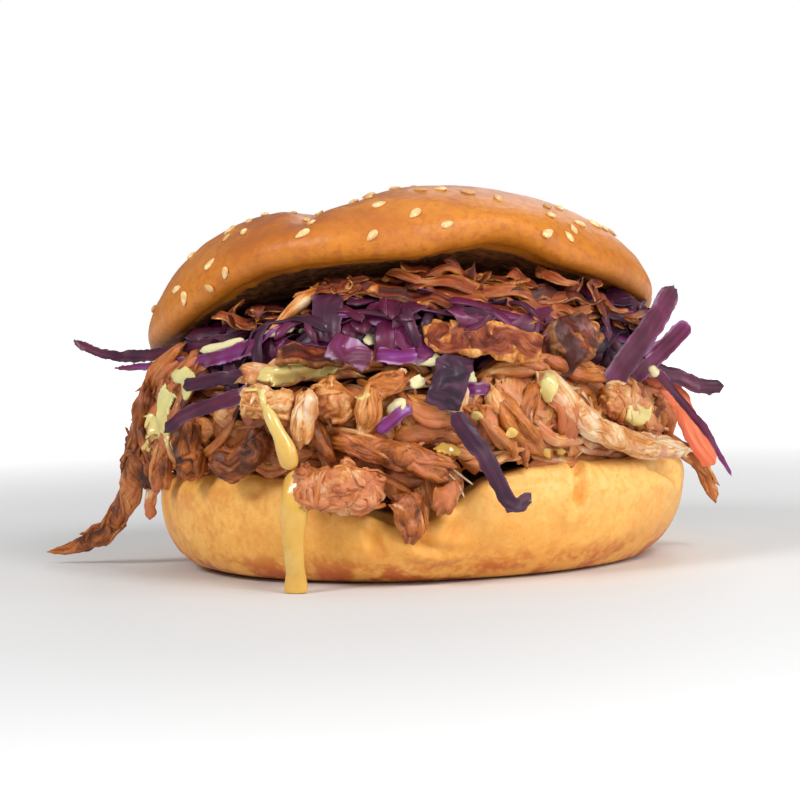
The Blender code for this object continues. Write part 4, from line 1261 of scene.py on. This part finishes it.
def pile_cabbage(settings, tree, lid, finish):
    """Strips over the slaw, some of them lifted towards the lid, the top bun."""
    core, lid_tree = NODES["cabbage_heap"], surface_tree(lid)
    rng = np.random.default_rng(9)

    def on_side(point, normal):
        return normal[2] > -0.5 and (normal[2] < 0.9 or point[1] < -16 * MM)

    strips = Shreds(8)
    for spot, normal in scatter_spots(core, settings.cabbage_shreds, rng, on_side):
        length = rng.uniform(9, 26) * MM
        width = rng.uniform(1.4, 4.2) * MM
        heading = side_heading(normal, rng, 0.5)
        _, _, _, room = lid_tree.ray_cast(Vector(spot), Vector((0, 0, 1)))
        most = min(4.5 * MM, room - 1.5 * MM) if room else 1.9 * MM
        raise_by = rng.uniform(0.2 * MM, max(0.6 * MM, most if normal[2] > 0.5 else 2.0 * MM))
        flick = rng.uniform(-0.5, 1.8) * MM
        line, outs = crawl(tree, Vector(spot) - heading * length / 2, heading, length, 11,
                           lambda share: raise_by + flick * (2 * share - 1) ** 2, 0.8, 0.25, rng)
        tone = float(np.clip(rng.normal(0.36, 0.19), 0.02, 0.9))
        strips.add(line, outs, width, 0.8 * MM, tone, rng, square=0.55, twist=rng.normal(0, 0.9), blunt=12.0,
                   cup=rng.uniform(-0.2, 0.3))
    done(strips.build("cabbage_shreds"), finish, "red_cabbage")
    ribs = Shreds(8)
    for spot, normal in scatter_spots(core, settings.rib_bits, rng, on_side):
        length = rng.uniform(4, 9) * MM
        heading = side_heading(normal, rng, 0.8)
        raise_by = rng.uniform(0.6, 1.6) * MM
        line, outs = crawl(tree, Vector(spot) - heading * length / 2, heading, length, 7,
                           lambda share: raise_by, 0.8, 0.2, rng)
        ribs.add(line, outs, rng.uniform(1.4, 3.0) * MM, rng.uniform(0.8, 1.4) * MM, rng.uniform(0.92, 1.15),
                 rng, square=0.8, ridges=0.05, blunt=4.0, twist=rng.normal(0, 0.5), cup=0.2, uneven=0.1)
    for route, width in PALE_BITS:
        line = [tuple(point) for point in smooth_route(route, 9)]
        ribs.add(line, [(0.1, -0.9, 0.4)] * 9, width * MM, 1.1 * MM, 1.02, rng, square=0.8, blunt=3.0,
                 ridges=0.06, twist=0.6, cup=0.2, uneven=0.12)
    done(ribs.build("pale_cabbage_bits"), finish, "red_cabbage")


# ------------------------------------------------------------------ sauce

# Where dressing lies: degrees round from the front, place across and height, half width and half
# height (millimetres), number of fingers, how far they run down
SAUCE_PATCHES = (
    (0, -28, 42.6, 4.6, 2.0, 1, 2), (0, -21.6, 43.4, 4.6, 2.0, 1, 2), (0, -25, 45.4, 3.6, 1.4, 0, 0),
    (0, -34, 40.5, 2.0, 1.2, 0, 0),
    (0, -49.0, 42.0, 3.0, 2.0, 2, 4), (0, -53, 36.5, 2.6, 3.2, 3, 8), (0, -55.5, 31.5, 2.2, 2.6, 2, 5),
    (0, 4.2, 26.8, 3.0, 1.8, 0, 0), (0, 24.5, 38.6, 2.2, 3.0, 1, 2), (0, 25.0, 25.2, 2.8, 1.3, 0, 0),
    (0, 43.0, 31.5, 3.0, 2.6, 1, 3), (0, 10, 33.5, 1.6, 1.3, 0, 0), (0, -12, 38.5, 1.8, 1.3, 0, 0),
    (0, -31.5, 39.0, 1.3, 3.0, 0, 0), (0, 17, 30.0, 1.6, 1.2, 0, 0),
    (98, 4, 33, 4.0, 2.4, 2, 6), (130, -6, 30, 3.6, 2.4, 2, 12), (165, 10, 36, 4.0, 2.2, 2, 5),
    (205, -4, 31, 4.2, 2.4, 2, 14), (250, 6, 34, 3.6, 2.2, 2, 6), (290, 0, 33, 3.2, 2.2, 2, 6),
)
# Hanging dressing: points of its route and its half widths, in millimetres
SAUCE_HANGS = (
    (((-31.5, -57.8, 38), (-29.8, -60.4, 34.6), (-28.2, -61.4, 31.2), (-27.0, -61.6, 28.2),
      (-26.5, -61.4, 26.4)), (0.8, 1.3, 1.5, 2.1, 2.0), 0.75),
    (((-25.4, -57.5, 21.5), (-25.8, -58.8, 18), (-26.3, -58.9, 13), (-26.4, -58.4, 8), (-26.2, -57.6, 4),
      (-26.3, -57.0, 1.2)), (2.9, 3.1, 2.7, 2.2, 2.2, 2.7), 0.45),
)


def model_blob(radius):
    """Points and faces of one small round blob at the origin."""
    bpy.ops.object.select_all(action="DESELECT")
    bpy.ops.mesh.primitive_ico_sphere_add(subdivisions=2, radius=radius)
    blob = bpy.context.active_object
    points, faces = points_of(blob), [tuple(face.vertices) for face in blob.data.polygons]
    bpy.data.objects.remove(blob)
    return points, faces


def neighbours(grid):
    """The grid with each of its eight neighbours, stacked."""
    padded = np.pad(grid, 1, mode="edge")
    rows, columns = grid.shape
    return np.stack([padded[i:i + rows, j:j + columns] for i in range(3) for j in range(3)])


def smear(tree, patch, seed, points, faces):
    """One thin film of dressing: it lies on the high places, bridges small gaps and runs down in fingers."""
    turn, across, height, half_width, half_height, fingers, run = patch
    angle = math.radians(turn)
    front = np.array((math.sin(angle), -math.cos(angle), 0))
    side = np.array((math.cos(angle), math.sin(angle), 0))
    a = np.arange(-half_width - 2, half_width + 2, FILM_STEP)
    b = np.arange(-half_height - run - 1, half_height + 2, FILM_STEP)
    wide, tall = np.meshgrid(a, b, indexing="ij")
    rng = random.Random(seed)
    edge = lumps(np.stack([wide, 0.6 * tall, 0 * wide], axis=-1).reshape(-1, 3), 1.7, seed).reshape(wide.shape)
    film = 1.2 - (wide / half_width) ** 2 - (tall / half_height) ** 2 + 0.9 * edge
    for _ in range(fingers):
        middle = rng.uniform(-0.8, 0.8) * half_width
        reach = run * rng.uniform(0.5, 1.0)
        thick = rng.uniform(0.6, 1.0)
        sway = middle + 0.5 * np.sin(tall / 2.5 + seed)
        past = np.clip((-tall - half_height * 0.5 - reach) / 0.8, 0, 9)
        finger = 1 - ((wide - sway) / thick) ** 2 - past ** 2
        film = np.maximum(film, np.where(tall < 0, finger, -1))
    ground = np.full(film.shape, NO_HIT)
    for i, j in zip(*np.nonzero(film > 0)):
        start = front * 0.15 + side * (across + wide[i, j]) * MM + np.array((0, 0, (height + tall[i, j]) * MM))
        spot, _, _, _ = tree.ray_cast(Vector(start), Vector(-front))
        if spot is not None:
            ground[i, j] = np.array(spot) @ front
    near = neighbours(neighbours(ground).max(axis=0)).max(axis=0)
    kept = (ground > NO_HIT) & (ground > near - FILM_BRIDGE)
    level = np.where(kept, ground, near - 1.0 * MM)
    level = np.where(level > 0, level, ground.max())
    for _ in range(4):
        level = np.maximum(np.where(kept, ground, NO_HIT), neighbours(level).mean(axis=0))
    depth = level + (0.85 * np.sqrt(np.clip(film, 0, 1)) - 0.2) * MM
    number = np.full(film.shape, -1)
    for i, j in zip(*np.nonzero(kept)):
        number[i, j] = len(points)
        points.append(tuple(front * depth[i, j] + side * (across + wide[i, j]) * MM
                            + np.array((0, 0, (height + tall[i, j]) * MM))))
    for i in range(len(a) - 1):
        for j in range(len(b) - 1):
            corners = (number[i, j], number[i + 1, j], number[i + 1, j + 1], number[i, j + 1])
            if min(corners) >= 0:
                faces.append(tuple(int(corner) for corner in corners))


def pour_sauce(settings, ground):
    """Thin smears of dressing over the filling, and thicker runs that hang from it."""
    tree = surface_tree(*ground)
    points, faces = [], []
    for seed, patch in enumerate(SAUCE_PATCHES):
        smear(tree, patch, seed + 1, points, faces)
    film = object_from("dressing_smears", points, faces)
    edit_whole(film, bpy.ops.mesh.delete_loose)
    shape_with(film, "SOLIDIFY", thickness=FILM_THICKNESS, offset=-1.0)
    shape_with(film, "SMOOTH", factor=0.5, iterations=6)

    ball, ball_faces = model_blob(1.0)
    drops, drop_faces = [], []
    for route, halves, flat in SAUCE_HANGS:
        for i, place in enumerate(smooth_route(route, RUN_STEPS)):
            radius = np.interp(i / (RUN_STEPS - 1), np.linspace(0, 1, len(halves)), halves) * MM
            out = (Vector((place.x, place.y, 0)).normalized() + Vector((0, 0, 0.1))).normalized()
            turned = np.array(out.to_track_quat("Z", "Y").to_matrix())
            start = len(drops)
            middle = (place.x, place.y, max(place.z, radius * flat))
            drops.extend((ball * (radius, radius, radius * flat)) @ turned.T + np.array(middle))
            drop_faces.extend(tuple(start + i for i in face) for face in ball_faces)
    runs = object_from("dressing_runs", [tuple(point) for point in drops], drop_faces)
    smooth_body(runs, RUN_VOXEL, 8)
    rows, normals = points_of(runs), normals_of(runs)
    rows = rows + normals * (0.1 * MM + 0.2 * MM * lumps(rows, 3 * MM, 31))[:, None]
    rows[:, 2] = np.maximum(rows[:, 2], 0.1 * MM)
    set_points(runs, rows)
    finish = sauce_finish(tuple(settings.sauce_colour))
    for obj in (film, runs):
        rows = points_of(obj)
        mark(obj, tone=0.15 + 0.5 * smooth_step(24 * MM, 40 * MM, rows[:, 2])
             + 0.35 * np.maximum(smooth_step(15 * MM, 40 * MM, rows[:, 0]),
                                 smooth_step(-44 * MM, -50 * MM, rows[:, 0])))
        done(obj, finish, "pulled_pork")


# ------------------------------------------------------------------ stage


def lay_floor():
    bpy.ops.object.select_all(action="DESELECT")
    bpy.ops.mesh.primitive_plane_add(size=6)
    floor = bpy.context.active_object
    floor.name = "floor"
    finish = Finish("pale_floor", roughness=0.6, specular_ior_level=0.2, emission_strength=1.0)
    patch = finish.grain(finish.place(), 0.5, 2.0)
    reach = Value(finish, finish.node("ShaderNodeVectorMath", {"operation": "LENGTH"},
                                      {0: finish.place()}).outputs["Value"])
    # The floor glows, from none near the middle up to full from 0.6 m out, so that far off it is as white as
    # the backdrop; the glow also lights the food from below.
    finish.feed(base_color=finish.mixed(patch, (0.70, 0.70, 0.70), (0.73, 0.73, 0.73)),
                emission_color=finish.mixed(reach.between(0.13, 0.6), (0.0, 0.0, 0.0), (0.85, 0.85, 0.85)))
    floor.data.materials.append(finish.material)


# Soft round lights: name, place and width in metres, and share of the key light's power
LIGHTS = (
    ("key", (0.42, -0.68, 0.72), 0.4, 1.65), ("left", (-0.62, -0.55, 0.62), 0.35, 1.5),
    ("top", (0.0, 0.1, 1.0), 0.7, 0.32), ("low", (0.3, -0.85, 0.16), 0.5, 0.42),
    ("right", (0.8, -0.3, 0.3), 0.4, 0.62), ("rear", (0.25, 0.85, 0.5), 0.6, 0.55),
)
LIT_MIDDLE = (0, 0, 0.04)


def hang_light(name, place, target, size, energy):
    light = bpy.data.lights.new(name, "AREA")
    light.shape, light.size, light.energy = "DISK", size, energy
    obj = bpy.data.objects.new(name, light)
    obj.location = place
    obj.rotation_euler = (Vector(target) - Vector(place)).to_track_quat("-Z", "Y").to_euler()
    bpy.context.scene.collection.objects.link(obj)


def light_world(scene, strength):
    """White all round, brighter to the camera than as a light."""
    world = bpy.data.worlds.new("studio")
    world.use_nodes = True
    tree = world.node_tree
    background = tree.nodes["Background"]
    background.inputs["Color"].default_value = (1.0, 1.0, 1.0, 1.0)
    path = tree.nodes.new("ShaderNodeLightPath")
    share = tree.nodes.new("ShaderNodeMapRange")
    share.inputs["To Min"].default_value = strength
    share.inputs["To Max"].default_value = 1.0
    tree.links.new(path.outputs["Is Camera Ray"], share.inputs["Value"])
    tree.links.new(share.outputs["Result"], background.inputs["Strength"])
    scene.world = world


def set_camera(stage):
    data = bpy.data.cameras.new("camera")
    data.sensor_width, data.lens = 36, stage.lens
    camera = bpy.data.objects.new("camera", data)
    bpy.context.scene.collection.objects.link(camera)
    target = Vector(stage.target)
    back = Vector((0, -math.cos(stage.elevation), math.sin(stage.elevation))) * stage.distance
    turn = (-back).to_track_quat("-Z", "Y").to_matrix().to_4x4()
    camera.matrix_world = (Matrix.Translation(target + back) @ turn
                           @ Matrix.Rotation(-stage.roll, 4, "Z"))
    bpy.context.scene.camera = camera


# ------------------------------------------------------------------ operators


class SANDWICH_OT_buns(bpy.types.Operator):
    """Bake both halves of the bun and sow the seeds"""

    bl_idname = "sandwich.buns"
    bl_label = "Buns and seeds"

    def execute(self, context):
        settings = context.scene.sandwich
        top = bake_bun_top(settings)
        bake_bun_base(settings)
        sow_seeds(settings, top)
        return {"FINISHED"}


class SANDWICH_OT_pork(bpy.types.Operator):
    """Tear the loose pieces of pork and pile the shreds of the heap"""

    bl_idname = "sandwich.pork"
    bl_label = "Pulled pork"

    def execute(self, context):
        settings = context.scene.sandwich
        finish = pork_finish()
        fibres = Shreds(6)
        for seed, (node, look) in enumerate(PORK_LOOKS.items()):
            tear_pork(node, look, settings.torn_voxel, finish, fibres, seed + 1)
        done(fibres.build("loose_fibres"), finish, "pulled_pork")
        _, tree = heap_core("pork_core", "pork_heap", 4.0 * MM, finish, "pulled_pork", 0.08, 40)
        pile_pork(settings, tree, finish)
        return {"FINISHED"}


class SANDWICH_OT_cabbage(bpy.types.Operator):
    """Cut the loose strips of cabbage and carrot and pile the slaw"""

    bl_idname = "sandwich.cabbage"
    bl_label = "Cabbage and carrot"

    def execute(self, context):
        settings = context.scene.sandwich
        finish = cabbage_finish()
        for seed, (node, tone) in enumerate(CABBAGE_TONES.items()):
            cut_leaf(node, tone, settings.torn_voxel * 0.9, finish, "red_cabbage", seed + 1)
        cut_leaf("carrot_strip", 0.5, settings.torn_voxel, carrot_finish(), "carrot", 3)
        _, tree = heap_core("cabbage_core", "cabbage_heap", 2.4 * MM, finish, "red_cabbage", 0.10, 60)
        pile_cabbage(settings, tree, bpy.data.objects["baked_bun_top"], finish)
        return {"FINISHED"}


class SANDWICH_OT_bacon(bpy.types.Operator):
    """Fry the shards of bacon"""

    bl_idname = "sandwich.bacon"
    bl_label = "Bacon"

    def execute(self, context):
        finish = bacon_finish()
        for seed, (node, tone) in enumerate(BACON_TONES.items()):
            fry_bacon(node, tone, context.scene.sandwich.torn_voxel * 1.1, finish, seed + 1)
        crumble_bacon(finish)
        return {"FINISHED"}


class SANDWICH_OT_sauce(bpy.types.Operator):
    """Pour the mustard dressing over the finished pieces"""

    bl_idname = "sandwich.sauce"
    bl_label = "Sauce"

    def execute(self, context):
        ground = [obj for obj in bpy.data.objects
                  if obj.name.startswith(("baked_bun_base", "torn_", "pork_")) and obj.name not in NODES]
        pour_sauce(context.scene.sandwich, ground)
        return {"FINISHED"}


class SANDWICH_OT_stage(bpy.types.Operator):
    """Lay the floor, hang the lights and set the camera"""

    bl_idname = "sandwich.stage"
    bl_label = "Stage"

    def execute(self, context):
        stage = context.scene.sandwich_stage
        lay_floor()
        for name, place, size, share in LIGHTS:
            hang_light(name, place, LIT_MIDDLE, size, stage.key_energy * share)
        light_world(context.scene, stage.world_strength)
        context.scene.view_settings.view_transform = "Standard"
        set_camera(stage)
        return {"FINISHED"}


class SANDWICH_PT_panel(bpy.types.Panel):
    """Buttons and settings of the sandwich"""

    bl_label = "Pulled Pork Sandwich"
    bl_idname = "SANDWICH_PT_panel"
    bl_space_type = "VIEW_3D"
    bl_region_type = "UI"
    bl_category = "Sandwich"

    def draw(self, context):
        for group in (context.scene.sandwich, context.scene.sandwich_stage):
            box = self.layout.box()
            for name in group.__annotations__:
                box.prop(group, name)
        for operator in OPERATORS:
            self.layout.operator(operator.bl_idname)


OPERATORS = (SANDWICH_OT_buns, SANDWICH_OT_pork, SANDWICH_OT_cabbage, SANDWICH_OT_bacon, SANDWICH_OT_sauce,
             SANDWICH_OT_stage)
CLASSES = (SandwichSettings, StageSettings, *OPERATORS, SANDWICH_PT_panel)


def register():
    for cls in CLASSES:
        bpy.utils.register_class(cls)
    bpy.types.Scene.sandwich = bpy.props.PointerProperty(type=SandwichSettings)
    bpy.types.Scene.sandwich_stage = bpy.props.PointerProperty(type=StageSettings)


def unregister():
    del bpy.types.Scene.sandwich_stage
    del bpy.types.Scene.sandwich
    for cls in reversed(CLASSES):
        bpy.utils.unregister_class(cls)


def main():
    register()
    bpy.ops.sandwich.buns()
    bpy.ops.sandwich.pork()
    bpy.ops.sandwich.cabbage()
    bpy.ops.sandwich.bacon()
    bpy.ops.sandwich.sauce()
    bpy.ops.sandwich.stage()


if __name__ == "__main__":
    main()
